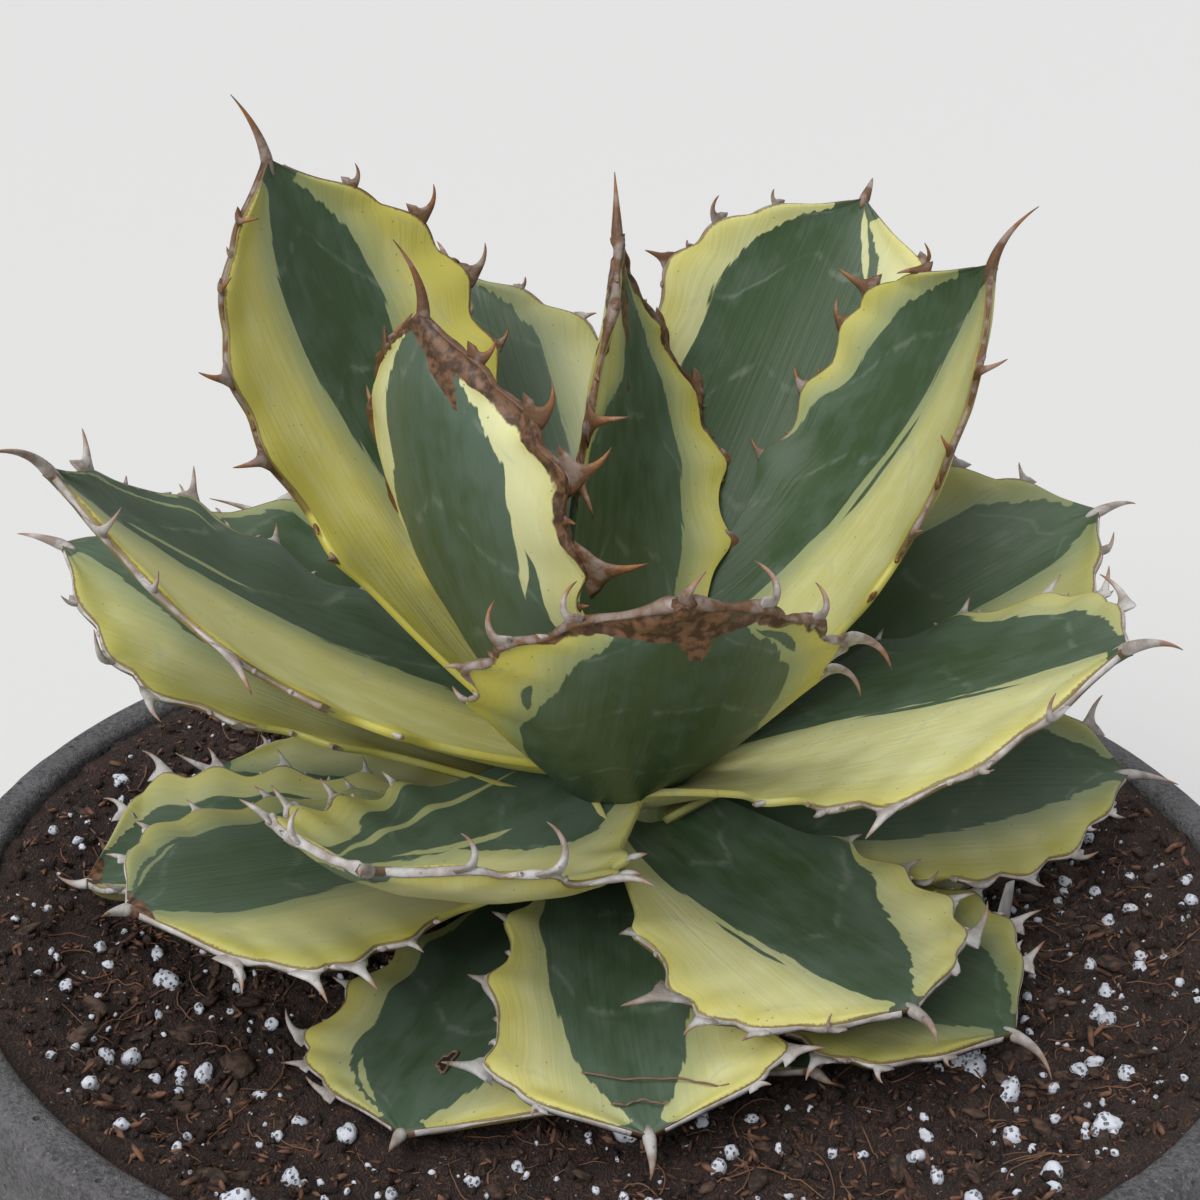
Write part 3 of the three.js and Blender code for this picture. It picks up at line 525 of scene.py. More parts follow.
# The bead of horn along each margin, thick at the teeth and thin between
RIM_START, RIM_END = 0.4, 0.985
RIM_FULL = 0.62
RIM_TIP = (0.9, 0.98)
RIM_FADE = 0.15
RIM_STEPS = 110
RIM_SIDES = 6
RIM_SINK = 0.2
RIM_LEAST = 0.12
RIM_UNEVEN = 0.3
RIM_LUMP = 2.6
RIM_SHIFT = 20
RIM_SEED = 31
RIM_BROWN = 0.06
DEAD_RIM_LEAF = 4
DEAD_RIM = (0.72, 0.85)
DEAD_RIM_BROWN = 0.9
EDGE_FADE = 4
HORN_SPREAD = 0.045
HORN_THIN = 0.4
HORN_POINT = 0.1
# Teeth: a flared foot, whose width falls off by a power, and a slim hook
TOOTH_STEPS = 11
TOOTH_SIDES = 10
TOOTH_ROOT = 1.6
PLAIN_FOOT = (0.3, 6)
BROAD_FOOT = (0.42, 4.5)
BROAD_TOOTHED = 2
HOOK_WIDTH = 0.085
HOOK_POWER = 0.8
HOOK_BASE = 0.5
TOOTH_THICK = (0.6, 0.04)
THICK_POWER = 0.7
THIN_FOOT = 0.5
THIN_FOOT_END = 0.2
# Small teeth: from, to and how often, then the limits of their length, lean and lift
SMALL_TEETH = (0.5, 0.93, 0.09)
SMALL_LENGTH = (1.2, 3)
SMALL_LEAN = (-40, 60)
SMALL_LIFT = (0, 30)
SPINE_SUNK = 0.34
SPINE_STEPS = 20
SPINE_SIDES = 12
SPINE_RADIUS = 1.6
SPINE_NECK = 0.3
SPINE_POINT = 0.12
SPINE_POWER = 1.1
SPINE_BROWN = 0.1
SPINE_GREY = 0.8
TINY = 1e-9

# One row a leaf. azimuth is its direction at the root in degrees from +X, yaw how far it turns to the tip.
# rise is its slope, cup the angle to which its margins lift and roll its lean about its midrib, each at root
# and tip. root is its height above the soil line, spine the end spine's length and its bend up and to the
# left, trim how much its right and left sides narrow to the tip. left and right list the margins' teeth seen
# from the stem: the place, the length, the lean to the tip and the lift. green holds the band's limits on the
# right and the left at a fifth, 0.45, 0.7 and 0.93 of the length, from -1 to 1 across. A streak is cream (1)
# or green (-1) from one place to another and from one part of the width to another, with its width in mm.
# look is how cream the margins are, how far painted shade darkens the leaf toward deep green where it lies in
# the shade of other leaves, how bluish its green and how grey its horn, and the radii of its right and left
# beads of horn.
LEAVES = [
    dict(azimuth=94, yaw=1, rise=(84, 64), cup=(45, 19), roll=(30, 80),
         length=131, width=81, widest=0.57, root=43, spine=(17, -2, -5),
         left=[[0.5, 13, -40, 20], [0.6, 12, 5, 50], [0.8, 4, 20, 10]],
         right=[[0.35, 6, -30, 10], [0.53, 7, -10, -60], [0.7, 12, -10, -70], [0.84, 9, -5, -60]],
         green=((-0.64, -0.64, -0.64, -0.54), (1.1, 1.1, -0.02, -0.25)),
         look=(0.3, 0.2, 0.6, 0.1, 1.6, 1.8)),
    dict(azimuth=214, yaw=1, rise=(44, 92), cup=(14, 27), roll=(5, 4),
         length=137, width=83, widest=0.69, root=39, spine=(17, -25, -3),
         left=[[0.42, 8, 10, 10], [0.58, 15, 5, 10], [0.77, 12, 30, 15], [0.86, 10, 60, 10],
               [0.94, 7, 45, 15]],
         right=[[0.35, 5, 20, 0], [0.55, 5, 20, 10], [0.73, 9, 35, 0], [0.88, 14, 30, 40]],
         green=((-1.1, -0.82, -0.46, -0.6), (1.1, 0.78, 0.64, 0.6)),
         streaks=[(1, 0.52, 0.72, 0.62, 0.68, 2.5)], look=(0.85, 0, 0.85, 0, 2.2, 0.8)),
    dict(azimuth=18, yaw=-11, rise=(32, 79), cup=(36, 34), roll=(19, -3),
         length=157, width=92, widest=0.82, root=41, spine=(17, -20, -12), trim=(0.3, 0),
         left=[[0.5, 6, 20, 10], [0.65, 7, 35, 5], [0.79, 8, 50, 0], [0.87, 12, 10, 15], [0.94, 8, -20, 15]],
         right=[[0.45, 5, 20, 0], [0.58, 4, 30, -30], [0.73, 6, 25, 40], [0.86, 10, 35, -45]],
         green=((0.45, 0.28, 0.15, 0.08), (1.1, 1.1, 0.8, 0.68)),
         streaks=[(-1, 0.5, 0.72, 0.17, 0.07, 1.5)], look=(0.35, 0.3, 0.15, 0.15, 0.8, 0.8)),
    dict(azimuth=160, yaw=9, rise=(40, 77), cup=(36, 31), roll=(-24, -28),
         length=176, width=85, widest=0.72, root=40, spine=(17, -4, 17), trim=(0, 0.14),
         left=[[0.45, 5, 10, 0], [0.62, 11, 10, -25], [0.74, 10, 25, -20], [0.85, 6, 25, 60],
               [0.93, 7, -5, 65]],
         right=[[0.45, 7, 20, 10], [0.6, 6, 30, 10], [0.73, 10, 40, 20], [0.85, 10, 45, 20],
                [0.93, 6, 60, 20]],
         green=((-0.5, -0.5, -0.45, -0.56), (-0.1, 0.08, 0.22, 0.3)),
         look=(0.05, 0.06, 0.1, 0.15, 0.8, 0.8)),
    dict(azimuth=277, yaw=-1, rise=(35, 56), cup=(36, 18), roll=(2, 4),
         length=130, width=85, widest=0.62, root=28, spine=(5, 30, 40),
         left=[[0.53, 12, -30, -55], [0.68, 15, -30, -45], [0.82, 9, 5, 60], [0.91, 12, 0, 70]],
         right=[[0.5, 5, 10, 20], [0.68, 5, -10, -15], [0.8, 10, 15, 60], [0.9, 9, 15, 75]],
         green=((-0.9, -0.76, -0.58, -0.6), (1.1, 0.68, 0.68, 0.7)),
         streaks=[(-1, 0.76, 0.88, 0.78, 0.74, 2.5), (-1, 0.6, 0.7, -0.7, -0.7, 2)],
         look=(0.05, 0.15, 0.35, 0.45, 1.7, 1.7)),
    dict(azimuth=55, yaw=-2, rise=(52, 52), cup=(38, 22), roll=(21, 30),
         length=176, width=87, widest=0.71, root=33, spine=(11, -40, 3),
         left=[[0.45, 6, 20, 10], [0.6, 6, 10, 10], [0.75, 8, -10, 10], [0.85, 8, 35, 45],
               [0.92, 5, 30, 30]],
         right=[[0.45, 6, 20, 10], [0.6, 8, 10, 10], [0.75, 7, 30, 20], [0.92, 7, 25, 75]],
         green=((-0.5, -0.45, -0.4, -0.44), (0.6, 0.66, 0.68, 0.74)),
         streaks=[(1, 0.86, 0.98, -0.3, -0.25, 2.2)], look=(0.6, 0.04, 0, 0.3, 0.7, 0.7)),
    dict(azimuth=193, yaw=9, rise=(14, 53), cup=(33, 11), roll=(-7, -5),
         length=163, width=84, widest=0.66, root=37, spine=(16, -14, 45), trim=(0, 0.45),
         left=[[0.4, 5, 10, 0], [0.55, 6, 10, 10], [0.7, 13, -25, -20], [0.82, 6, 25, 55],
               [0.91, 10, 10, 55]],
         right=[[0.4, 6, 20, 10], [0.57, 7, 10, 10], [0.73, 10, 20, 20], [0.93, 12, 30, 15]],
         green=((-1.1, -1.1, -0.96, -1), (-0.42, -0.36, -0.27, -0.2)),
         streaks=[(1, 0.6, 0.85, -0.46, -0.32, 1.4), (1, 0.7, 0.98, -0.85, -0.85, 1)],
         look=(0.25, 0, 0.3, 0.7, 0.8, 0.8)),
    dict(azimuth=340, yaw=-26, rise=(25, 35), cup=(34, -13), roll=(1, 20),
         length=145, width=93, widest=0.7, root=28, spine=(17, -3, -25), trim=(0.3, 0.08),
         left=[[0.4, 5, 20, 10], [0.55, 7, 10, 10], [0.7, 8, 20, 10], [0.82, 9, 10, 30],
               [0.89, 12, -25, 50]],
         right=[[0.4, 5, 10, 10], [0.55, 6, 10, 10], [0.68, 10, -10, -5], [0.82, 5, 60, 5],
                [0.91, 8, 40, 80]],
         green=((0.25, 0.14, 0.02, 0.02), (1.1, 1.1, 0.76, 0.76)),
         streaks=[(-1, 0.45, 0.82, 0.12, -0.08, 1.6)], look=(0.55, 0.28, 0.35, 0.8, 0.9, 0.9)),
    dict(azimuth=118, yaw=1, rise=(48, 50), cup=(32, 22), roll=(-12, -14),
         length=162, width=86, widest=0.63, root=24, spine=(14, -33, -3),
         left=[[0.4, 7, 10, 10], [0.55, 9, 30, 10], [0.7, 8, 0, 20], [0.85, 9, 30, 20]],
         right=[[0.4, 6, 10, 10], [0.55, 7, 20, 10], [0.7, 6, 10, 10], [0.83, 5, -10, 10],
                [0.92, 4, 30, 30]],
         green=((-0.4, -0.4, -0.46, -0.7), (0.6, 0.5, 0.45, 0.4)),
         look=(0.45, 0.55, 0.05, 0.5, 0.8, 0.8)),
    dict(azimuth=237, yaw=15, rise=(-14, 42), cup=(34, 23), roll=(-8, 4),
         length=121, width=77, widest=0.72, root=32, spine=(10, -20, 15),
         left=[[0.35, 6, 10, 0], [0.5, 7, 20, -10], [0.66, 13, 10, -20], [0.84, 13, 35, 65],
               [0.93, 9, 40, 65]],
         right=[[0.4, 5, 10, 0], [0.56, 6, 10, 10], [0.7, 7, 10, 10], [0.82, 9, 10, -5], [0.91, 8, -15, 45]],
         green=((-1.1, -0.92, -0.62, -0.7), (0.6, -0.28, -0.38, -0.3)),
         streaks=[(1, 0.15, 0.85, -0.84, -0.5, 1.6), (1, 0.28, 0.62, -0.2, -0.42, 2.2)],
         look=(0.5, 0.08, 1, 0.8, 1.4, 1)),
    dict(azimuth=20, yaw=0, rise=(34, 21), cup=(37, 23), roll=(12, 20),
         length=155, width=85, widest=0.64, root=21, spine=(15, -30, 13),
         left=[[0.4, 6, 10, 10], [0.55, 8, 20, 10], [0.7, 7, 0, 10], [0.83, 11, 25, 15], [0.92, 6, 10, 10]],
         right=[[0.4, 6, 10, 10], [0.55, 7, -10, 10], [0.7, 8, 10, 0], [0.84, 8, 20, 20], [0.93, 8, 20, 50]],
         green=((-0.2, -0.22, -0.26, -0.42), (0.5, 0.48, 0.5, 0.68)),
         look=(0.4, 0.55, 0, 0.7, 0.8, 0.8)),
    dict(azimuth=170, yaw=1, rise=(26, 18), cup=(39, 17), roll=(-5, -28),
         length=162, width=85, widest=0.62, root=21, spine=(15, -29, -13), trim=(0.25, 0.1),
         left=[[0.4, 5, 0, 10], [0.55, 6, 10, 10], [0.7, 10, -40, -15], [0.8, 11, 25, 65],
               [0.91, 6, 30, 35]],
         right=[[0.4, 6, 10, 10], [0.55, 8, 20, 10], [0.7, 7, 0, 20], [0.85, 8, 30, 10]],
         green=((-0.95, -0.92, -0.9, -0.95), (0.3, 0.34, 0.34, 0.12)),
         look=(0.3, 0.44, 0.15, 0.8, 0.8, 0.8)),
    dict(azimuth=308, yaw=-2, rise=(-10, 4), cup=(36, -11), roll=(-11, 1),
         length=107, width=85, widest=0.68, root=23, spine=(14, 5, -28),
         left=[[0.4, 5, 10, 0], [0.55, 6, 10, 10], [0.7, 7, 20, 10], [0.83, 12, -15, 35],
               [0.91, 5, -50, 30]],
         right=[[0.5, 5, 10, 0], [0.68, 14, 0, 0], [0.77, 7, 10, -10], [0.85, 5, 5, 0], [0.93, 5, 5, 80]],
         green=((-0.75, -0.4, -0.22, -0.25), (1.1, 0.95, 0.55, 0.42)),
         streaks=[(-1, 0.5, 0.72, -0.42, -0.3, 1.4)], look=(0.55, 0, 0.5, 0.8, 0.9, 0.9)),
    dict(azimuth=82, yaw=2, rise=(35, 14), cup=(38, 25), roll=(5, -2),
         length=148, width=84, widest=0.63, root=15, spine=(16, -10, 8),
         left=[[0.38, 6, 10, 10], [0.53, 8, 20, 20], [0.68, 7, -10, 10], [0.8, 9, 30, 10],
               [0.91, 6, 20, 30]],
         right=[[0.4, 7, 20, 0], [0.56, 9, -10, 20], [0.7, 6, 20, 10], [0.83, 10, 30, 20],
                [0.92, 6, 40, 10]],
         green=((-0.5, -0.55, -0.45, -0.4), (0.4, 0.5, 0.55, 0.5)),
         look=(0.4, 0.1, 0.4, 0.7, 0.8, 0.8)),
    dict(azimuth=210, yaw=9, rise=(2, 12), cup=(35, -8), roll=(6, 1),
         length=132, width=87, widest=0.73, root=14, spine=(8, 10, 30),
         left=[[0.4, 4, 0, 0], [0.61, 5, -10, -15], [0.73, 10, -5, -15], [0.81, 10, 0, -15],
               [0.9, 10, 10, -20]],
         right=[[0.4, 5, 10, 10], [0.56, 6, 20, 10], [0.7, 6, 10, 10], [0.81, 5, 25, 10], [0.9, 6, 30, 0]],
         green=((-0.85, -0.85, -0.76, -0.74), (0, 0.1, 0.22, 0.3)),
         streaks=[(1, 0.8, 0.95, -0.7, -0.6, 1.5)], look=(0.35, 0.42, 0.5, 0.9, 0.9, 0.9)),
    dict(azimuth=13, yaw=-4, rise=(12, -6), cup=(36, 17), roll=(19, 30),
         length=146, width=83, widest=0.56, root=11, spine=(17, -13, 0),
         left=[[0.4, 6, 10, 10], [0.54, 7, 20, 10], [0.68, 8, 10, 20], [0.82, 7, 20, 10],
               [0.93, 11, 20, 15]],
         right=[[0.46, 7, 25, 50], [0.57, 8, 30, 50], [0.68, 6, 20, 5], [0.8, 8, 30, 40], [0.92, 5, 25, 15]],
         green=((-0.6, -0.58, -0.45, -0.4), (0.6, 0.55, 0.55, 0.58)),
         look=(0.3, 0.42, 0, 0.8, 0.8, 0.8)),
    dict(azimuth=140, yaw=2, rise=(37, 13), cup=(30, 28), roll=(-3, -9),
         length=153, width=83, widest=0.6, root=5, spine=(12, 20, 40),
         left=[[0.4, 6, 10, 10], [0.55, 7, -10, 10], [0.7, 8, 20, 20], [0.83, 8, 20, 40], [0.93, 8, 40, 50]],
         right=[[0.4, 7, 20, 10], [0.55, 8, 0, 10], [0.7, 7, 30, 0], [0.84, 9, 20, 20]],
         green=((-0.6, -0.5, -0.55, -0.5), (0.5, 0.4, 0.5, 0.45)),
         look=(0.4, 0.1, 0.4, 0.7, 0.8, 0.8)),
    dict(azimuth=270, yaw=9, rise=(2, -13), cup=(36, 12), roll=(-2, 2),
         length=109, width=67, widest=0.79, root=9, spine=(14, 18, -9),
         left=[[0.4, 4, 10, 0], [0.6, 5, 20, 0], [0.84, 9, 20, 10], [0.91, 4, 25, 10]],
         right=[[0.4, 4, 0, 0], [0.6, 5, 10, 10], [0.83, 11, 10, 10], [0.92, 4, 60, 15]],
         green=((-0.95, -0.68, -0.5, -0.28), (1, 0.8, 0.4, 0.26)),
         streaks=[(1, 0.68, 0.84, -0.52, -0.45, 1.6)], look=(0.5, 0, 0.65, 0.9, 1, 1)),
    dict(azimuth=50, yaw=-2, rise=(21, 2), cup=(34, 23), roll=(13, 18),
         length=140, width=82, widest=0.65, root=2, spine=(15, 10, -8),
         left=[[0.38, 6, 10, 10], [0.52, 8, 20, 10], [0.67, 6, -10, 20], [0.8, 9, 20, 10],
               [0.91, 6, 30, 10]],
         right=[[0.4, 7, 10, 10], [0.55, 6, -20, 10], [0.7, 9, 20, 20], [0.84, 8, 30, 10]],
         green=((-0.4, -0.5, -0.5, -0.6), (0.6, 0.5, 0.4, 0.5)),
         look=(0.4, 0.1, 0.4, 0.7, 0.8, 0.8)),
    dict(azimuth=184, yaw=4, rise=(4, -6), cup=(32, 37), roll=(1, 7),
         length=137, width=82, widest=0.84, root=1, spine=(8, 10, -30),
         left=[[0.45, 4, 0, 10], [0.6, 5, 20, 0], [0.75, 6, 10, 0], [0.88, 6, 30, 10]],
         right=[[0.45, 5, 10, 10], [0.62, 6, 20, 10], [0.76, 7, 20, 10], [0.87, 10, 35, 10],
                [0.94, 8, 45, 10]],
         green=((-0.75, -0.75, -0.78, -0.72), (0.3, 0.3, 0.2, 0.2)),
         streaks=[(1, 0.2, 0.9, -0.45, -0.45, 5)], look=(0.55, 0.36, 0.35, 0.9, 0.9, 0.9)),
    dict(azimuth=323, yaw=-1, rise=(0, -1), cup=(32, 4), roll=(3, 0),
         length=115, width=82, widest=0.72, root=1, spine=(15, 8, -40),
         left=[[0.4, 5, 10, 0], [0.55, 6, 0, 10], [0.7, 7, 20, 10], [0.82, 9, 25, 10], [0.9, 9, 10, 20]],
         right=[[0.45, 5, 10, 0], [0.62, 6, 20, 0], [0.75, 9, 10, -15], [0.85, 6, 35, -10],
                [0.93, 4, 35, -5]],
         green=((-0.5, -0.45, -0.38, -0.28), (0.6, 0.6, 0.62, 0.68)),
         look=(0.35, 0.52, 0, 0.8, 0.8, 0.8)),
    dict(azimuth=102, yaw=2, rise=(11, 2), cup=(36, 23), roll=(4, 0),
         length=132, width=82, widest=0.66, root=-1, spine=(15, 12, 10),
         left=[[0.4, 6, 10, 10], [0.56, 8, 20, 10], [0.7, 7, 10, 10], [0.84, 9, 30, 20]],
         right=[[0.38, 5, 0, 10], [0.54, 7, 20, 10], [0.69, 9, -10, 10], [0.81, 6, 30, 10],
                [0.91, 7, 40, 10]],
         green=((-0.55, -0.45, -0.5, -0.4), (0.45, 0.55, 0.5, 0.6)),
         look=(0.4, 0.1, 0.4, 0.7, 0.8, 0.8)),
    dict(azimuth=245, yaw=4, rise=(-4, -2), cup=(16, -2), roll=(5, 8),
         length=113, width=78, widest=0.72, root=0, spine=(7, 10, 10),
         left=[[0.45, 4, 10, 0], [0.65, 4, 20, 0], [0.82, 5, 20, 0]],
         right=[[0.42, 4, 10, 0], [0.58, 5, 0, 10], [0.76, 9, -25, 30], [0.84, 6, 15, 5],
                [0.91, 8, -10, 20]],
         green=((-0.98, -0.82, -0.66, -0.7), (0.9, 0.6, 0.28, 0.3)),
         streaks=[(1, 0.8, 0.93, -0.6, -0.6, 2)], look=(0.5, 0, 0.8, 0.9, 0.8, 0.8)),
    dict(azimuth=21, yaw=-3, rise=(1, 2), cup=(34, 23), roll=(11, 10),
         length=112, width=78, widest=0.66, root=-5, spine=(12, 15, 5),
         left=[[0.4, 5, 10, 10], [0.56, 6, 20, 10], [0.7, 7, 10, 10], [0.84, 7, 30, 20]],
         right=[[0.4, 5, 0, 10], [0.55, 6, 20, 10], [0.7, 6, 10, 10], [0.84, 6, 30, 20]],
         green=((-0.5, -0.4, -0.45, -0.5), (0.5, 0.5, 0.4, 0.5)),
         look=(0.4, 0.1, 0.4, 0.7, 0.8, 0.8)),
    dict(azimuth=161, yaw=-2, rise=(-4, 11), cup=(23, 5), roll=(2, -6),
         length=122, width=76, widest=0.76, root=-4, spine=(12, 12, 8),
         left=[[0.45, 4, 10, 0], [0.65, 5, 20, 0], [0.82, 6, 20, 10]],
         right=[[0.4, 5, 10, 10], [0.55, 6, 20, 10], [0.7, 7, 0, 10], [0.87, 5, 40, 20], [0.94, 5, 45, 20]],
         green=((-0.4, -0.4, -0.48, -0.2), (0.5, 0.45, 0.4, 0.3)),
         look=(0.4, 0.54, 0, 0.9, 0.8, 0.8)),
    dict(azimuth=299, yaw=0, rise=(-4, 6), cup=(8, 2), roll=(4, 2),
         length=91, width=80, widest=0.64, root=-5, spine=(10, 15, -10),
         left=[[0.45, 5, 10, 10], [0.62, 6, 20, 10], [0.78, 6, 10, 10], [0.9, 5, 30, 10]],
         right=[[0.45, 5, 0, 10], [0.62, 6, 10, 10], [0.78, 7, 20, 0], [0.9, 6, 30, 10]],
         green=((-0.5, -0.55, -0.5, -0.45), (0.6, 0.5, 0.45, 0.4)),
         look=(0.4, 0.1, 0.4, 0.7, 0.8, 0.8)),
]


def stacked(x, y, z):
    return np.stack(np.broadcast_arrays(x, y, z), -1)


def unit_rows(rows):
    return rows / (np.linalg.norm(rows, axis=1)[:, None] + TINY)


def direction_at(leaf, s):
    """The blade's direction at s: its slope and its turn both change evenly from root to tip."""
    slope = np.radians(mix(*leaf["rise"], s))
    turn = np.radians(leaf["azimuth"] + leaf["yaw"] * s)
    return stacked(np.cos(slope) * np.cos(turn), np.cos(slope) * np.sin(turn), np.sin(slope))


def outline_share(s, widest):
    """Half width as a share of the widest: a sine power up to there, then a power curve down to the tip."""
    opening = np.sin(np.pi / 2 * np.clip(s / widest, 0, 1)) ** OPENING_POWER
    closing = np.clip((s - widest) / (1 - widest), 0, 1)
    return mix(ROOT_WIDTH_SHARE, 1, opening) * (1 - closing ** CLOSING_POWERS[0]) ** CLOSING_POWERS[1]


def bells_at(teeth, s, spread):
    """1 at every tooth's place, falling off on both sides as a bell curve."""
    return np.max([np.exp(-(((s - tooth[0]) / spread) ** 2)) for tooth in teeth], axis=0)


def hump_at(teeth, s):
    """How far a margin stands out at s: a bell under every tooth, a little in from the plain line between."""
    fade = ease(s, *HUMP_START) * (1 - ease(s, *HUMP_END))
    return fade * (HUMP_HEIGHT * bells_at(teeth, s, HUMP_SPREAD) - HUMP_VALLEY)


def thickness_at(s, across):
    """Thick at the root, thin at the tip, and as thin as MARGIN_THICKNESS at both margins."""
    middle = mix(TIP_THICKNESS, ROOT_THICKNESS, np.clip(1 - s, 0, 1) ** THICKNESS_POWER)
    return mix(middle, MARGIN_THICKNESS, across * across)


def frame_at(leaf, s):
    """The midrib's point at s, and the directions along the blade, to its left and out of its upper face."""
    s = np.asarray(s, float)
    azimuth = math.radians(leaf["azimuth"])
    middles = (np.arange(MIDRIB_STEPS) + 0.5) / MIDRIB_STEPS
    steps = direction_at(leaf, middles) * leaf["length"] / MIDRIB_STEPS
    start = [ROOT_RADIUS * math.cos(azimuth), ROOT_RADIUS * math.sin(azimuth), SOIL_LINE + leaf["root"]]
    midrib = np.vstack([start, start + np.cumsum(steps, axis=0)])
    place = np.clip(s, 0, 1) * MIDRIB_STEPS
    point = np.stack([np.interp(place, np.arange(MIDRIB_STEPS + 1), midrib[:, k]) for k in range(3)], -1)
    turn = np.radians(leaf["azimuth"] + leaf["yaw"] * s)
    level = stacked(-np.sin(turn), np.cos(turn), 0)
    along = direction_at(leaf, s)
    upper = np.cross(along, level)
    roll = np.radians(mix(*leaf["roll"], s))[..., None]
    side = level * np.cos(roll) + upper * np.sin(roll)
    return point, along, side, upper * np.cos(roll) - level * np.sin(roll)


def half_width(leaf, s, across):
    """Half the blade's width at s on the side that across is on, narrower to the tip by that side's trim."""
    right, left = leaf.get("trim", (0, 0))
    trim = np.where(across < 0, right, left)
    return leaf["width"] / 2 * outline_share(s, leaf["widest"]) * (1 - trim * ease(s, *TRIM_PLACES))


def place_on(leaf, s, across, depth, extra):
    """A place on a blade, from across -1 at the right margin to 1 at the left, and the directions out and up
    there. Every cross-section is an arc whose margins lift by the cup angle. depth goes down, extra out."""
    point, _, side, face = frame_at(leaf, s)
    half = leaf["width"] / 2 * outline_share(s, leaf["widest"])
    cup = np.radians(mix(*leaf["cup"], s))
    radius = half / np.where(np.abs(cup) < FLATTEST_CUP, FLATTEST_CUP, cup)
    angle = (across * (half_width(leaf, s, across) + extra) / np.where(radius == 0, 1, radius))[..., None]
    radius = radius[..., None]
    outward = side * np.cos(angle) + face * np.sin(angle)
    upward = face * np.cos(angle) - side * np.sin(angle)
    place = point + side * radius * np.sin(angle) + face * radius * (1 - np.cos(angle))
    return place - upward * np.asarray(depth)[..., None], outward, upward


class Shape:
    """Points, faces and point values that grow as parts are added to one mesh."""

    def __init__(self, keys=()):
        self.points, self.faces, self.paints, self.skin = [], [], [], []
        self.values = {key: [] for key in keys}
        self.count = 0

    def add(self, points, faces, paint=0, skin=None, **values):
        self.points.append(points)
        self.faces += [tuple(corner + self.count for corner in face) for face in faces]
        self.paints += [paint] * len(faces)
        self.skin.append(np.zeros((len(points), 2)) if skin is None else skin)
        for key, stored in self.values.items():
            stored.append(np.broadcast_to(values.get(key, 0.0), (len(points),)))
        self.count += len(points)

    def put(self, name, paints):
        """Makes the mesh, with its values and its skin map where it has any."""
        values = {key: np.concatenate(stored) for key, stored in self.values.items()}
        skin = np.vstack(self.skin) if values else None
        return put_piece(name, np.vstack(self.points), self.faces, paints, self.paints, values, skin)


def tube(path, across_ring, up_ring, wide, thick, sides):
    """Points and faces of a closed tube along a path: rings wide one way and thick the other, ends closed."""
    turn = 2 * np.pi * np.arange(sides) / sides
    ring = across_ring[:, None] * (wide[:, None] * np.cos(turn))[..., None]
    ring = ring + up_ring[:, None] * (thick[:, None] * np.sin(turn))[..., None]
    points = (path[:, None] + ring).reshape(-1, 3)
    rings = len(path)
    faces = ring_faces(rings, sides)
    start, end = len(points), len(points) + 1
    for seat in range(sides):
        beside = (seat + 1) % sides
        faces.append((start, beside, seat))
        faces.append((end, (rings - 1) * sides + seat, (rings - 1) * sides + beside))
    handed = np.einsum("ij,ij->i", np.cross(across_ring, up_ring), np.gradient(path, axis=0)).sum()
    if handed < 0:
        faces = [face[::-1] for face in faces]
    return np.vstack([points, path[0], path[-1]]), faces


def ring_ways(path, side):
    """Two directions square to a path at each of its points, the first as near as may be to side."""
    heading = unit_rows(np.gradient(path, axis=0))
    wide_way = unit_rows(side - heading * (heading @ side)[:, None])
    return wide_way, np.cross(heading, wide_way)


def wave_at(length, across, order, kind):
    height, along_size, across_count, shift, seed = kind
    spot = np.stack([length / along_size, across * across_count, 0 * across + order * shift], -1)
    return height * lumps(spot, 1, seed)


def scar_at(leaf, order, s, t, half):
    """How far inside a dead patch a place is, in mm, negative outside."""
    scar = np.full(t.shape, NO_SCAR)
    for low, middle, low_width, tip_width in SCARS.get(order, []):
        share = (s - low) / (1 - low)
        width = np.where(share < 0, share * leaf["length"] * SCAR_POINT, mix(low_width, tip_width, share))
        scar = np.maximum(scar, width - np.abs(t - middle) * half)
    return scar


def skin_values(leaf, order, s, t, half, scar):
    """What the leaf's paint needs to know at each point: distances in mm to the band's limit, the margin,
    dead patches, an imprint and two streaks, and the leaf's look."""
    right, left = (np.interp(s, GREEN_PLACES, [side[0], *side, side[-1]]) for side in leaf["green"])
    band = np.minimum(t - right, left - t) * half + ease(s, *TIP_GREEN) * TIP_GREEN_WIDTH
    edge = (1 - np.abs(t)) * half + EDGE_FADE * (1 - ease(s, RIM_START, RIM_START + RIM_FADE))
    place, bend, spread, wave, waves = IMPRINT
    imprint = (s - place - bend * np.cos(spread * t) - wave * np.sin(waves * t + order)) * leaf["length"]
    # The look's second number is painted shade: how far the leaf is darkened for the shade it lies in.
    cream, dull, bloom = leaf["look"][:3]
    values = dict(band=band, edge=edge, scar=scar, imprint=imprint, cream=cream, dull=dull, bloom=bloom)
    streaks = leaf.get("streaks", [])
    for number in STREAK_NUMBERS:
        distance, width, is_cream = FAR_STREAK, 0, 0
        if number <= len(streaks):
            is_cream, low, high, from_t, to_t, full_width = streaks[number - 1]
            share = (s - low) / (high - low)
            distance = (t - mix(from_t, to_t, np.clip(share, 0, 1))) * half
            taper = np.minimum(s - low, high - s) / (high - low) * STREAK_TAPER
            width = full_width / 2 * np.clip(taper, -1, 1)
        streak = {"": distance, "_width": width, "_cream": is_cream}
        values.update({f"streak_{number}{key}": value for key, value in streak.items()})
    return {key: np.broadcast_to(value, t.shape).ravel() for key, value in values.items()}


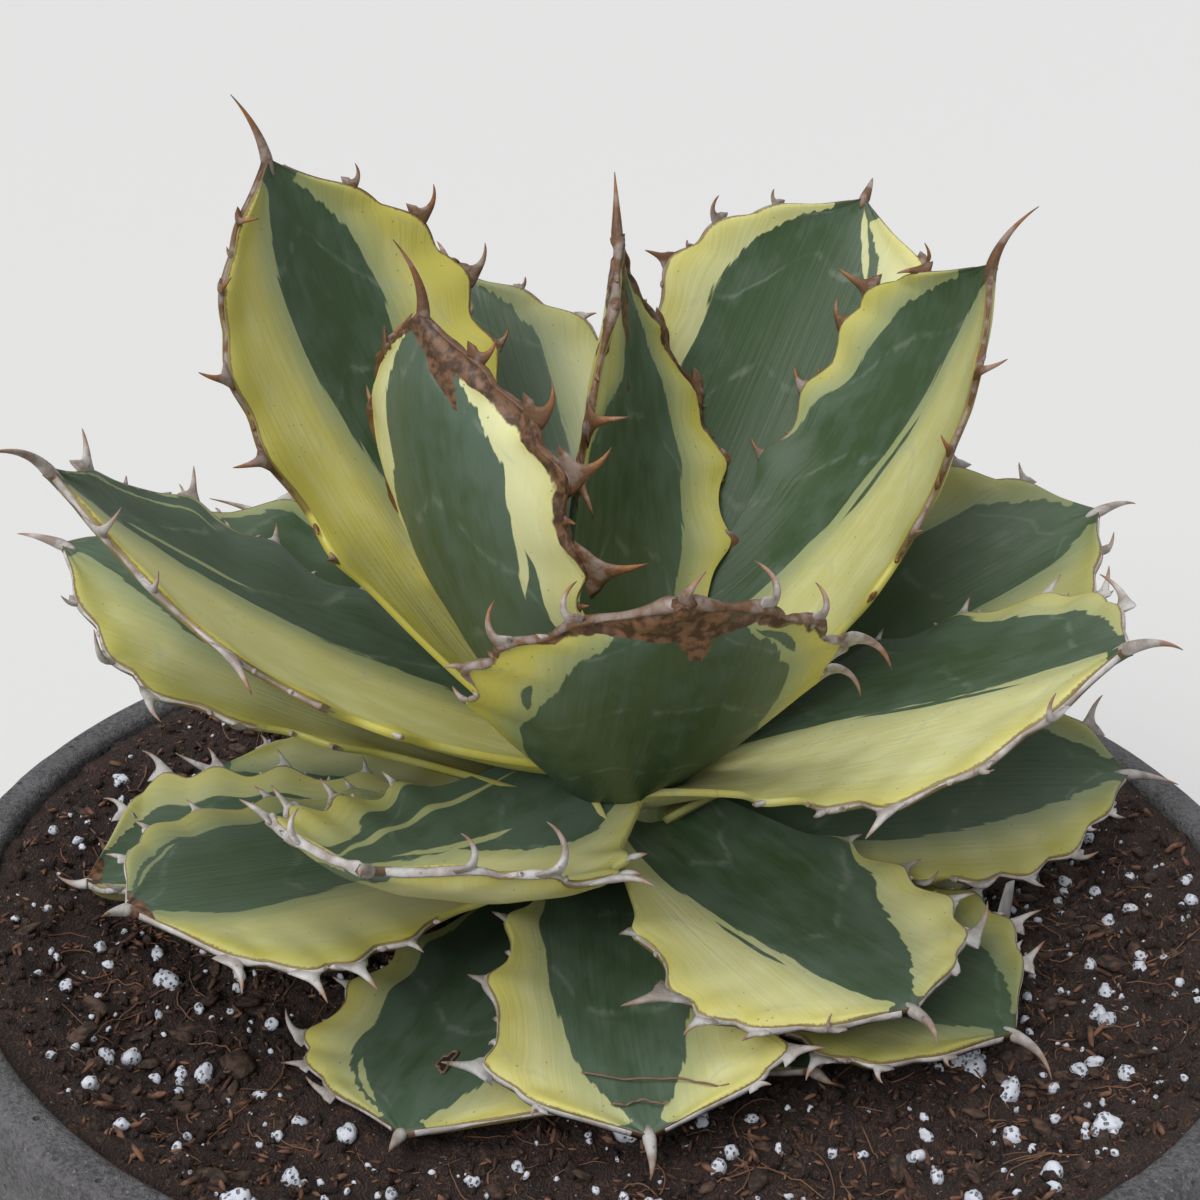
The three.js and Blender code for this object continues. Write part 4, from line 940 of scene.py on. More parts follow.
def blade(leaf, order, shape):
    """Adds the two faces of a blade, joined round the margins, and returns the points of its lower face."""
    body_rows = np.linspace(0, TIP_START, BLADE_ROWS)
    s = np.concatenate([body_rows, np.linspace(TIP_START, BLADE_END, TIP_ROWS + 1)[1:]])
    across = np.sin(np.pi / 2 * np.linspace(-1, 1, BLADE_COLUMNS))
    s_grid, t = np.meshgrid(s, across, indexing="ij")
    half = half_width(leaf, s_grid, t)
    scar = scar_at(leaf, order, s_grid, t, half)
    length = s_grid * leaf["length"]
    margin, flat = PUCKER_POWERS
    bells = [bells_at(leaf[side], s_grid, HUMP_SPREAD) for side in ("right", "left")]
    pucker = PUCKER * np.where(t < 0, *bells) * np.abs(t) ** margin * (1 - np.abs(t) ** flat)
    wave = wave_at(length, t, order, FLOW) + wave_at(length, t, order, RIPPLE)
    wave = wave * (1 - t**FLAT_POWER) - pucker
    wave = wave + wave_at(length, t * half, order, CRUMPLE) * ease(scar, *CRUMPLE_EDGE)
    hump = np.where(t < 0, hump_at(leaf["right"], s_grid), hump_at(leaf["left"], s_grid))
    extra = hump * np.abs(t) ** margin
    upper, _, _ = place_on(leaf, s_grid, t, wave, extra)
    lower, _, _ = place_on(leaf, s_grid, t, thickness_at(s_grid, t) + wave, extra)

    rows, columns = t.shape
    row, column = np.meshgrid(np.arange(rows - 1), np.arange(columns - 1), indexing="ij")
    here = row * columns + column
    top = np.stack([here, here + columns, here + columns + 1, here + 1], -1).reshape(-1, 4)
    below = top[:, ::-1] + t.size
    grid = np.arange(t.size).reshape(t.shape)
    ring = np.concatenate([grid[0], grid[1:, -1], grid[-1, -2::-1], grid[-2:0:-1, 0]])
    beside = np.roll(ring, -1)
    rim = np.stack([ring, beside, beside + t.size, ring + t.size], -1)
    skin = np.stack([length + SKIN_STEP * order, t * half], -1).reshape(-1, 2)
    values = skin_values(leaf, order, s_grid, t, half, scar)
    both = {key: np.concatenate([value, value]) for key, value in values.items()}
    points = np.vstack([upper.reshape(-1, 3), lower.reshape(-1, 3)])
    shape.add(points, np.vstack([top, below, rim]).tolist(), 0, np.vstack([skin, skin]), **both)
    return lower.reshape(-1, 3)


def rim_of_horn(leaf, order, across, radius, shape, rng):
    """Adds the bead of horn that runs along one margin."""
    teeth = leaf["right"] if across < 0 else leaf["left"]
    s = np.linspace(RIM_START, RIM_END, RIM_STEPS)
    t = np.full(s.shape, float(across))
    depth = np.full(s.shape, MARGIN_THICKNESS / 2)
    path, outward, upward = place_on(leaf, s, t, depth, hump_at(teeth, s) - RIM_SINK)
    spot = np.stack([s * leaf["length"] / RIM_LUMP, 0 * s + across, 0 * s + rng.random() * RIM_SHIFT], -1)
    uneven = 1 + RIM_UNEVEN * lumps(spot, 1, RIM_SEED)
    thick_places = np.maximum(bells_at(teeth, s, HORN_SPREAD), ease(s, *RIM_TIP))
    swell = radius * ease(s, RIM_START, RIM_FULL) * mix(HORN_THIN, 1.0, thick_places) * uneven
    swell = np.maximum(swell, RIM_LEAST)
    points, faces = tube(path, outward, upward, swell, swell, RIM_SIDES)
    weathered = 1 - DEAD_RIM_BROWN * ease(s, *DEAD_RIM) * (order == DEAD_RIM_LEAF)
    grey = leaf["look"][3] * np.append(np.repeat(weathered, RIM_SIDES), [1, 1])
    shape.add(points, faces, 1, tip=RIM_BROWN, grey=grey)


def tooth(leaf, order, across, entry, shape):
    """Adds a hooked tooth: a tube with a flared foot, which leaves the margin outward and bends over."""
    place, length, lean, lift = entry
    teeth = leaf["right"] if across < 0 else leaf["left"]
    s = np.array([place])
    t = np.array([float(across)])
    seat, outward, upward = place_on(leaf, s, t, np.array([MARGIN_THICKNESS / 2]), hump_at(teeth, s))
    along = frame_at(leaf, s)[1][0]
    outward, upward = outward[0] * across, upward[0]
    share = np.linspace(0, 1, TOOTH_STEPS)[:, None]
    lift_here, lean_here = np.radians(lift) * share, np.radians(lean) * share
    away = outward * np.cos(lift_here) + upward * np.sin(lift_here)
    away = away * np.cos(lean_here) + along * np.sin(lean_here)
    path = seat[0] + away * length * share
    path[0] -= outward * TOOTH_ROOT
    rest = 1 - share[:, 0]
    foot, fall = BROAD_FOOT if order < BROAD_TOOTHED else PLAIN_FOOT
    wide = length * (foot * rest**fall + HOOK_WIDTH * rest**HOOK_POWER) + HOOK_BASE * rest + HORN_POINT
    thick = (TOOTH_THICK[0] + TOOTH_THICK[1] * length) * rest**THICK_POWER
    thick = thick * mix(THIN_FOOT, 1.0, ease(share[:, 0], 0, THIN_FOOT_END)) + HORN_POINT
    points, faces = tube(path, *ring_ways(path, along), wide, thick, TOOTH_SIDES)
    tip = np.concatenate([np.repeat(share[:, 0], TOOTH_SIDES), [0, 1]])
    shape.add(points, faces, 1, tip=tip, grey=leaf["look"][3])


def end_spine(leaf, shape):
    """Adds the end spine, a round tapering horn that leaves the tip and bends by the square of its length."""
    length, up, left = leaf["spine"]
    point, along, side, face = (value[0] for value in frame_at(leaf, np.array([1.0])))
    share = np.linspace(-SPINE_SUNK, 1, SPINE_STEPS)[:, None]
    bend = np.sign(share) * share**2 * length
    path = point + along * length * share + side * bend * math.tan(math.radians(left))
    path = path + face * (bend * math.tan(math.radians(up)) - MARGIN_THICKNESS / 2)
    share = share[:, 0]
    sunk = SPINE_RADIUS - (SPINE_RADIUS - SPINE_NECK) * (share / SPINE_SUNK) ** 2
    free = SPINE_POINT + (SPINE_RADIUS - SPINE_POINT) * np.clip(1 - share, 0, 1) ** SPINE_POWER
    radius = np.where(share < 0, sunk, free)
    points, faces = tube(path, *ring_ways(path, side), radius, radius, SPINE_SIDES)
    brown = mix(SPINE_BROWN, 1, np.clip(share, 0, 1))
    tip = np.concatenate([np.repeat(brown, SPINE_SIDES), [SPINE_BROWN, 1]])
    shape.add(points, faces, 1, tip=tip, grey=leaf["look"][3] * SPINE_GREY)


# Dead brown patches by leaf: wedges from a share of its length, at a part of its width, to the tip, and their
# half widths in mm at the start and at the tip
SCARS = {
    0: [(0.72, 0.85, 1.5, 10), (0.6, -0.15, 0.2, 5), (0.6, -1.0, 1.0, 6)],
    1: [(0.85, 0.4, 0.5, 7), (0.82, -1.0, 0.5, 5), (0.58, 1.0, 1.2, 8)],
    4: [(0.9, 0, 22, 30), (0.8, 0.15, 0.5, 9), (0.74, 1.0, 1.0, 7), (0.78, -1.0, 0.5, 8)],
    14: [(0.965, 0, 9, 9)],
    19: [(0.97, 0, 9, 9)],
}
GREEN_DEEP = (0.036, 0.068, 0.026)
GREEN_BLUE = (0.080, 0.120, 0.082)
YELLOW = (0.52, 0.47, 0.095)
CREAM = (0.66, 0.65, 0.35)
HALO_GREEN = (0.235, 0.285, 0.15)
BLOOM_MARK = (0.30, 0.34, 0.28)
BRUISE = (0.055, 0.026, 0.012)
DRY_LEAF = (0.17, 0.085, 0.042)
HORN_BROWN = (0.12, 0.055, 0.022)
HORN_RUST = (0.25, 0.10, 0.03)
HORN_SILVER = (0.47, 0.455, 0.44)
HORN_DARK = (0.035, 0.018, 0.01)
# Sizes of patterns on the skin in mm, along and across the leaf
LONG_JAGS = (20, 1.9)
SHORT_JAGS = (4, 0.6)
MOTTLES = (13, 7)
LENGTHWISE = (40, 1.6)
SPECKS = (3.4, 3.4)
# How far each noise moves a limit, in mm from end to end
LONG_JAG = 3.6
SHORT_JAG = 0.7
EDGE_JAG = 0.9
SCAR_JAG = 8.0
IMPRINT_JAG = 9.0
STREAK_JAG = 0.35
IMPRINT_STEP = 19
HALO_WIDTH = 11.0
CRUST_GRAIN = 380
FIBRE_DEPTH = 0.0002
SKIN_GLOSS = 0.42
HORN_GRAIN = 500
BLOTCH_GRAIN = 160
HORN_DEPTH = 0.0004

leaf_paint = Paint("leaf_skin")
long_jags = leaf_paint.noise(leaf_paint.on_skin(*LONG_JAGS), 1, 1)
short_jags = leaf_paint.noise(leaf_paint.on_skin(*SHORT_JAGS), 1, 1)
jags = leaf_paint.add(leaf_paint.swing(long_jags, LONG_JAG), leaf_paint.swing(short_jags, SHORT_JAG))
mottle = leaf_paint.noise(leaf_paint.on_skin(*MOTTLES), 1, 3)
lengthwise = leaf_paint.noise(leaf_paint.on_skin(*LENGTHWISE), 1, 2)
band = leaf_paint.add(leaf_paint.attribute("band"), jags)
edge = leaf_paint.attribute("edge")
# The pale margins: yellow to cream, greener in a halo along the band
cream = leaf_paint.attribute("cream")
cream_share = leaf_paint.add(cream, leaf_paint.step(mottle, 0.35, 0.7, -0.12, 0.12))
cream_share = leaf_paint.add(cream_share, leaf_paint.step(edge, 1.0, 13.0, -0.25, 0.25))
pale = leaf_paint.blend(cream_share, YELLOW, CREAM)
pale = leaf_paint.blend(leaf_paint.step(lengthwise, 0.5, 0.8, 0.0, 0.06), pale, HALO_GREEN)
halo = leaf_paint.step(band, -HALO_WIDTH, 1.0, 0.0, leaf_paint.step(cream, 0.3, 0.8, 0.85, 0.1))
pale = leaf_paint.blend(halo, pale, HALO_GREEN)
# The band: deep green, bluish where its bloom isn't rubbed off
rubbed = leaf_paint.step(mottle, 0.3, 0.7, -0.3, 0.3)
rubbed = leaf_paint.add(rubbed, leaf_paint.step(band, 2.0, 16.0, 0.2, -0.2))
rubbed = leaf_paint.add(rubbed, leaf_paint.step(lengthwise, 0.3, 0.7, -0.08, 0.08))
deep = leaf_paint.blend(leaf_paint.add(rubbed, leaf_paint.attribute("bloom")), GREEN_DEEP, GREEN_BLUE)
color = leaf_paint.blend(leaf_paint.step(band, -0.25, 0.25), pale, deep)
for number in STREAK_NUMBERS:
    distance = leaf_paint.math("ABSOLUTE", leaf_paint.attribute(f"streak_{number}"))
    inside = leaf_paint.math("SUBTRACT", leaf_paint.attribute(f"streak_{number}_width"), distance)
    inside = leaf_paint.add(inside, leaf_paint.times(jags, STREAK_JAG))
    is_cream = leaf_paint.step(leaf_paint.attribute(f"streak_{number}_cream"), -0.5, 0.5)
    streak = leaf_paint.blend(is_cream, deep, pale)
    color = leaf_paint.blend(leaf_paint.step(inside, -0.2, 0.2), color, streak)
# Faint lines that other leaves pressed in, painted shade that darkens leaves lying in the shade of others,
# then
# age: specks, brown edges and dead patches
wander = leaf_paint.add(leaf_paint.attribute("imprint"), leaf_paint.swing(mottle, IMPRINT_JAG))
marks = leaf_paint.math("PINGPONG", leaf_paint.math("DIVIDE", wander, IMPRINT_STEP), 1.0)
mark = leaf_paint.times(leaf_paint.step(marks, 0.1, 0.01), leaf_paint.step(mottle, 0.42, 0.6, 0.02, 0.2))
color = leaf_paint.blend(mark, color, BLOOM_MARK)
# Painted shade: a leaf in the shade of others is darkened toward deep green, by up to 0.8.
color = leaf_paint.blend(leaf_paint.step(leaf_paint.attribute("dull"), 0.0, 1.0, 0.0, 0.8), color, GREEN_DEEP)
specks = leaf_paint.step(leaf_paint.cells(leaf_paint.on_skin(*SPECKS), 1), 0.09, 0.05, 0.0, 0.55)
color = leaf_paint.blend(specks, color, BRUISE)
edge = leaf_paint.add(edge, leaf_paint.swing(short_jags, EDGE_JAG))
color = leaf_paint.blend(leaf_paint.step(edge, 0.6, 0.2, 0.0, 0.75), color, HORN_BROWN)
scar = leaf_paint.add(leaf_paint.attribute("scar"), leaf_paint.swing(mottle, SCAR_JAG))
crust = leaf_paint.noise(leaf_paint.place(), CRUST_GRAIN, 3)
dry = leaf_paint.blend(leaf_paint.step(crust, 0.4, 0.62), BRUISE, DRY_LEAF)
color = leaf_paint.blend(leaf_paint.step(scar, -0.3, 0.5), color, dry)
leaf_paint.plug(leaf_paint.shader.inputs["Specular IOR Level"], SKIN_GLOSS)
leaf_roughness = leaf_paint.step(mottle, 0.3, 0.7, 0.40, 0.56)
leaf_material = leaf_paint.finish(color, leaf_roughness, leaf_paint.bump(lengthwise, FIBRE_DEPTH))

# Horn: rusty brown and darkest at the point, grey where it has weathered, which is most at the foot
horn = Paint("horn")
tip = horn.attribute("tip")
grain = horn.noise(horn.place(), HORN_GRAIN, 3)
blotch = horn.noise(horn.place(), BLOTCH_GRAIN, 3)
weathered = horn.add(horn.attribute("grey"), horn.step(blotch, 0.35, 0.65, -0.35, 0.2))
weathered = horn.times(weathered, horn.step(tip, 0.55, 0.9, 1.0, 0.3))
brown = horn.blend(horn.step(tip, 0.3, 0.8), HORN_BROWN, HORN_RUST)
brown = horn.blend(horn.step(tip, 0.82, 1.0, 0.0, 0.7), brown, HORN_DARK)
color = horn.blend(weathered, brown, HORN_SILVER)
color = horn.blend(horn.step(grain, 0.6, 0.75, 0.0, 0.5), color, HORN_DARK)
horn_material = horn.finish(color, horn.step(grain, 0.3, 0.7, 0.45, 0.75), horn.bump(grain, HORN_DEPTH))

leaf_rng = np.random.default_rng(26)
VALUE_KEYS = ["band", "edge", "scar", "imprint", "cream", "dull", "bloom", "tip", "grey"]
VALUE_KEYS += [f"streak_{number}{key}" for number in STREAK_NUMBERS for key in ("", "_width", "_cream")]
undersides = []
for order, leaf in enumerate(LEAVES):
    shape = Shape(VALUE_KEYS)
    undersides.append(blade(leaf, order, shape))
    for across, teeth, radius in ((-1, leaf["right"], leaf["look"][4]), (1, leaf["left"], leaf["look"][5])):
        rim_of_horn(leaf, order, across, radius, shape, leaf_rng)
        for entry in teeth:
            tooth(leaf, order, across, entry, shape)
        for place in np.arange(*SMALL_TEETH):
            place += leaf_rng.uniform(-1, 1) * SMALL_TEETH[2] / 3
            entry = (place, *(leaf_rng.uniform(*limits) for limits in (SMALL_LENGTH, SMALL_LEAN, SMALL_LIFT)))
            if min(abs(place - other[0]) for other in teeth) > SMALL_TEETH[2] / 3:
                tooth(leaf, order, across, entry, shape)
    end_spine(leaf, shape)
    piece = shape.put(f"agave_leaf_{order:02d}", [leaf_material, horn_material])
    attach(piece, "root")
    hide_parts(f"leaf_{order:02d}")

# Perlite: bluish white puffed glass, crumbs of 1 to 8 mm with broken faces, half sunk in the soil or lying on
# it. Loose pieces stay clear of the leaves that lie low over the soil.
CLEARANCE_CELL = 2.5
CLEARANCE_RANGE = 180
OPEN_SKY = 1e3
ICO_RATIO = (1 + math.sqrt(5)) / 2
# Loose pieces: how many, the lognormal mean and spread of their radii and the limits in mm, the two radii of
# the ring they lie in, and the free height they need
PERLITE = (980, -0.05, 0.62, (0.35, 3.6), (30, 162), 8)
# Their shape: how squashed each way, how deep sunk, how dented, how tilted, seed
GRAIN_SHAPE = ((1.0, 0.85, 0.75), 0.4, 0.3, 1.0, 41)
CRUMB_SHAPE = ((1.0, 0.85, 0.75), 0.3, 0.4, 1.0, 43)
# Two sizes of dents, finer and weaker, and how far apart the lumps that two pieces are dented by may lie
DENTS = ((1.1, 1.0), (2.9, 0.5))
DENT_RANGE = 30
PERLITE_BIG = 1.5
PERLITE_WHITE = (0.56, 0.58, 0.64)
PERLITE_DIRT_AND_SHADE = (0.16, 0.16, 0.18)
HOLE_GRAIN = 820
DIRT_GRAIN = 260
GRIT_DEPTH = 0.0006

cells_wide = int(2 * CLEARANCE_RANGE / CLEARANCE_CELL)


def cell_of(distance):
    """The clearance grid's cell that a distance along an axis falls in."""
    return np.clip(((distance + CLEARANCE_RANGE) / CLEARANCE_CELL).astype(int), 0, cells_wide - 1)


lowest_leaf = np.full((cells_wide, cells_wide), OPEN_SKY)
spots = np.vstack(undersides)
np.minimum.at(lowest_leaf, (cell_of(spots[:, 0]), cell_of(spots[:, 1])), spots[:, 2])


def room_above(x, y):
    """Free height between the soil and the lowest leaf over a place and its eight neighbouring cells."""
    low = np.full(np.shape(x), OPEN_SKY)
    for dx in (-CLEARANCE_CELL, 0, CLEARANCE_CELL):
        for dy in (-CLEARANCE_CELL, 0, CLEARANCE_CELL):
            low = np.minimum(low, lowest_leaf[cell_of(x + dx), cell_of(y + dy)])
    return low - soil_height(x, y)


def ico(level):
    """Points and triangles of a unit icosphere, each level with every triangle split in four."""
    a, b = 1, ICO_RATIO
    points = [(-a, b, 0), (a, b, 0), (-a, -b, 0), (a, -b, 0), (0, -a, b), (0, a, b), (0, -a, -b), (0, a, -b),
              (b, 0, -a), (b, 0, a), (-b, 0, -a), (-b, 0, a)]
    faces = [(0, 11, 5), (0, 5, 1), (0, 1, 7), (0, 7, 10), (0, 10, 11), (1, 5, 9), (5, 11, 4), (11, 10, 2),
             (10, 7, 6), (7, 1, 8), (3, 9, 4), (3, 4, 2), (3, 2, 6), (3, 6, 8), (3, 8, 9), (4, 9, 5),
             (2, 4, 11), (6, 2, 10), (8, 6, 7), (9, 8, 1)]
    for _ in range(level):
        middles, split = {}, []
        for one, two, three in faces:
            corner = []
            for pair in ((one, two), (two, three), (three, one)):
                key = tuple(sorted(pair))
                if key not in middles:
                    middles[key] = len(points)
                    points.append(tuple((np.array(points[key[0]]) + points[key[1]]) / 2))
                corner.append(middles[key])
            split += [(one, corner[0], corner[2]), (two, corner[1], corner[0]), (three, corner[2], corner[1]),
                      (corner[0], corner[1], corner[2])]
            points = [tuple(np.array(point) / np.linalg.norm(point)) for point in points]
        faces = split
    points = np.array(points, float)
    return points / np.linalg.norm(points, axis=1)[:, None], np.array(faces)


def free_spots(count, ring, room):
    """Random places on the soil between two radii where at least room millimetres are free above."""
    inner, outer = ring
    places = np.zeros((0, 2))
    while len(places) < count:
        radius = np.sqrt(soil_rng.uniform(inner**2, outer**2, 4 * count))
        turn = soil_rng.uniform(0, 2 * np.pi, 4 * count)
        tried = np.stack([radius * np.cos(turn), radius * np.sin(turn)], 1)
        places = np.vstack([places, tried[room_above(tried[:, 0], tried[:, 1]) > room]])
    return places[:count]


def scattered(kind):
    """Random places and radii for one kind of loose piece."""
    count, mean, spread, limits, ring, room = kind
    radii = np.clip(soil_rng.lognormal(mean, spread, count), *limits)
    return free_spots(count, ring, room), radii


def turns(count, rng, tilt):
    """Random rotation matrices; tilt 0 keeps the z axis upright and 1 turns all ways."""
    spin = rng.uniform(0, 2 * np.pi, count)
    lean = rng.uniform(-1, 1, count) * np.pi / 2 * tilt
    roll = rng.uniform(-1, 1, count) * np.pi / 2 * tilt
    result = np.zeros((count, 3, 3))
    for k in range(count):
        flat = Matrix.Rotation(spin[k], 3, "Z") @ Matrix.Rotation(lean[k], 3, "X")
        result[k] = flat @ Matrix.Rotation(roll[k], 3, "Y")
    return result


def strew(name, ball, places, radii, form, paint):
    """One mesh of many rough lumps: copies of a ball, each squashed, dented, turned and laid on the soil."""
    squash, sunk, roughness, tilt, seed = form
    rng = np.random.default_rng(seed)
    points, faces = ball
    count = len(places)
    dents = 1
    for step, (fineness, strength) in enumerate(DENTS):
        spot = points[None] * fineness + rng.uniform(0, DENT_RANGE, (count, 1, 3))
        dents = dents + roughness * strength * lumps(spot, 1, seed + step)
    shaped = points[None] * dents[..., None] * radii[:, None, None] * np.array(squash)
    shaped = np.einsum("nij,nkj->nki", turns(count, rng, tilt), shaped)
    low = shaped[..., 2].min(axis=1)
    high = shaped[..., 2].max(axis=1)
    lift = soil_height(places[:, 0], places[:, 1]) - low - sunk * (high - low)
    shaped = shaped + np.stack([places[:, 0], places[:, 1], lift], 1)[:, None]
    all_faces = (faces[None] + np.arange(count)[:, None, None] * len(points)).reshape(-1, 3)
    piece = put_piece(name, shaped.reshape(-1, 3), all_faces.tolist(), [paint])
    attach(piece, "root")
    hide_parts("soil")


perlite_paint = Paint("perlite")
where = perlite_paint.place()
# The pores are painted shade, dark grey in the pits that the bump makes; patches of dirt take the same dark
# grey.
holes = perlite_paint.step(perlite_paint.cells(where, HOLE_GRAIN), 0.16, 0.42)
dirt = perlite_paint.step(perlite_paint.noise(where, DIRT_GRAIN, 3), 0.5, 0.7, 0.0, 0.5)
color = perlite_paint.blend(dirt, perlite_paint.blend(holes, PERLITE_DIRT_AND_SHADE, PERLITE_WHITE), PERLITE_DIRT_AND_SHADE)
perlite_material = perlite_paint.finish(color, 0.9, perlite_paint.bump(holes, GRIT_DEPTH))
soil_rng = np.random.default_rng(77)
spots, radii = scattered(PERLITE)
big = radii > PERLITE_BIG
strew("perlite", ico(2), spots[big], radii[big], GRAIN_SHAPE, perlite_material)
strew("perlite_crumbs", ico(1), spots[~big], radii[~big], CRUMB_SHAPE, perlite_material)

# Bark chips, crumbs of peat and shreds of coir: brown, flat and broken, of 1 to 12 mm, loose on the soil.
# Each kind is one mesh, made by strew() from copies of a small ball.
CHIPS = (320, 0.85, 0.45, (1.2, 6.5), (40, 158), 10)
CHIP_SHAPE = ((1.0, 0.55, 0.28), 0.3, 0.5, 0.3, 51)
PEAT_CRUMBS = (4000, 0.1, 0.45, (0.5, 2.8), (30, 166), 5)
PEAT_SHAPE = ((1.0, 0.7, 0.6), 0.3, 0.5, 1.0, 61)
SHREDS = (3600, 0.1, 0.4, (0.5, 2.6), (30, 166), 5)
SHRED_SHAPE = ((1.25, 0.36, 0.3), 0.15, 0.4, 0.5, 71)
BARK_DARK = (0.016, 0.009, 0.006)
BARK_BROWN = (0.085, 0.045, 0.028)
BARK_PALE = (0.14, 0.085, 0.055)
SHRED_DARK = (0.045, 0.020, 0.012)
SHRED_PALE = (0.19, 0.09, 0.052)
BARK_GRAIN = 420
CHUNK_GRAIN = 60
SHRED_GRAIN = 220
chip_paint = Paint("bark")
layers = chip_paint.noise(chip_paint.place(scale=(1, 1, 3)), BARK_GRAIN, 4)
chunk = chip_paint.step(chip_paint.noise(chip_paint.place(), CHUNK_GRAIN, 2), 0.5, 0.75, 0.0, 0.5)
color = chip_paint.blend(chip_paint.step(layers, 0.35, 0.7), BARK_DARK, BARK_BROWN)
color = chip_paint.blend(chunk, color, BARK_PALE)
chip_material = chip_paint.finish(color, 0.85, chip_paint.bump(layers, GRIT_DEPTH))
shred_paint = Paint("coir_shred")
tone = shred_paint.noise(shred_paint.place(), SHRED_GRAIN, 2)
color = shred_paint.blend(shred_paint.step(tone, 0.35, 0.68), SHRED_DARK, SHRED_PALE)
shred_material = shred_paint.finish(color, 0.9)
strew("bark_chips", ico(1), *scattered(CHIPS), CHIP_SHAPE, chip_material)
strew("soil_crumbs", ico(0), *scattered(PEAT_CRUMBS), PEAT_SHAPE, peat_material)
strew("coir_shreds", ico(0), *scattered(SHREDS), SHRED_SHAPE, shred_material)

# Coir fibres: stiff brown hairs of coconut husk that lie crossed on the soil, thin bent tubes in one mesh.
FIBRE_COUNT = 520
FIBRE_RING = (40, 156)
FIBRE_ROOM = 7
FIBRE_LENGTH = (5, 22)
FIBRE_RADIUS = (0.12, 0.28)
FIBRE_SINK = (0.2, 1.4)
FIBRE_ARCH = 3
FIBRE_TURN = 1.4
FIBRE_LIFT = 0.9
FIBRE_STEPS = 9
FIBRE_SIDES = 4
COIR_TAN = (0.13, 0.07, 0.04)
COIR_GRAIN = 120
fibre_paint = Paint("coir_fibre")
tone = fibre_paint.noise(fibre_paint.place(), COIR_GRAIN, 2)
fibre_material = fibre_paint.finish(fibre_paint.blend(tone, COIR_RUST, COIR_TAN), 0.8)


def fibre(path, radius):
    """A thin tube along a path, its rings square to the path."""
    heading = unit_rows(np.gradient(path, axis=0))
    wide_way = unit_rows(np.cross(heading, np.array([0.0, 0.0, 1.0])))
    size = np.full(len(path), radius)
    return tube(path, wide_way, np.cross(heading, wide_way), size, size, FIBRE_SIDES)


shape = Shape()
share = np.linspace(-0.5, 0.5, FIBRE_STEPS)
for x, y in free_spots(FIBRE_COUNT, FIBRE_RING, FIBRE_ROOM):
    length = soil_rng.uniform(*FIBRE_LENGTH)
    turn = soil_rng.uniform(0, 2 * np.pi) + soil_rng.uniform(-FIBRE_TURN, FIBRE_TURN) * share
    path_x = x + length * share * np.cos(turn)
    path_y = y + length * share * np.sin(turn)
    sink = soil_rng.uniform(*FIBRE_SINK) - soil_rng.uniform(0, FIBRE_ARCH) * (0.25 - share**2)
    path = np.stack([path_x, path_y, soil_height(path_x, path_y) + FIBRE_LIFT - sink], 1)
    shape.add(*fibre(path, soil_rng.uniform(*FIBRE_RADIUS)))
piece = shape.put("coir_fibres", [fibre_material])
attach(piece, "root")
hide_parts("soil")

# Two dried fibres that have stuck to a front leaf: thin brown tubes that follow its blade.
# They are given by their two ends as a share of the leaf's length and a part of its width.
DRIED_LEAF = 17
DRIED_ENDS = [((0.83, -0.4), (0.905, 0.86)), ((0.915, -0.34), (0.92, 0.28))]
DRIED_STEPS = 40
DRIED_RADIUS = 0.32
DRIED_SWAY = (0.006, 9)
DRIED_LIFT = 0.5
DRIED_WAVE = (0.5, 14)
DRIED_TAN = (0.22, 0.15, 0.10)
DRIED_GRAIN = 300
dried_paint = Paint("dried_fibre")
tone = dried_paint.noise(dried_paint.place(), DRIED_GRAIN, 2)
dried_material = dried_paint.finish(dried_paint.blend(tone, HORN_BROWN, DRIED_TAN), 0.7)
shape = Shape()
share = np.linspace(0, 1, DRIED_STEPS)
for (from_s, from_t), (to_s, to_t) in DRIED_ENDS:
    s = mix(from_s, to_s, share) + DRIED_SWAY[0] * np.sin(DRIED_SWAY[1] * share)
    lift = DRIED_LIFT + DRIED_WAVE[0] * np.abs(np.sin(DRIED_WAVE[1] * share))
    path, _, _ = place_on(LEAVES[DRIED_LEAF], s, mix(from_t, to_t, share), -lift, 0 * s)
    shape.add(*fibre(path, DRIED_RADIUS))
piece = shape.put("dried_fibres", [dried_material])
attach(piece, "root")
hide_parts(f"leaf_{DRIED_LEAF:02d}")

# A torn hole in the leaf beside it: a brown curled rim round a patch of painted shade on the blade, a
# near-black sheet that stands for the shade seen through the hole. Its outline is a slanted ellipse, with two
# kinds of waves
# round it: how strong, how many and where they start.
HOLE_LEAF = 22
HOLE_PLACE = (0.768, -0.035)
HOLE_REACH = (0.03, 0.035)
HOLE_SLANT = 0.5
HOLE_WAVES = (0.25, 3, 1), (0.12, 7, 0)
HOLE_STEPS = 28
HOLE_RIM_RADIUS = 0.42
HOLE_RIM_LIFT = 0.25
# The patch's upper and lower face: depth in mm and which way it faces
HOLE_FACES = ((-0.32, 1), (0.4, -1))
HOLE_SHADE = (0.012, 0.009, 0.006)
# The patch is painted shade: a near-black sheet where the hole would show the shade below the leaf.
hole_shade_material = Paint("torn_hole").finish(HOLE_SHADE, 0.9)
turn = np.linspace(0, 2 * np.pi, HOLE_STEPS, endpoint=False)
ragged = 1 + sum(size * np.sin(count * turn + start) for size, count, start in HOLE_WAVES)
ring_s = HOLE_PLACE[0] + HOLE_REACH[0] * ragged * (np.cos(turn) - HOLE_SLANT * np.sin(turn))
ring_t = HOLE_PLACE[1] + HOLE_REACH[1] * ragged * (np.sin(turn) + HOLE_SLANT * np.cos(turn))


def hole_ring(depth):
    return place_on(LEAVES[HOLE_LEAF], ring_s, ring_t, np.full(HOLE_STEPS, depth), 0 * ring_s)[0]


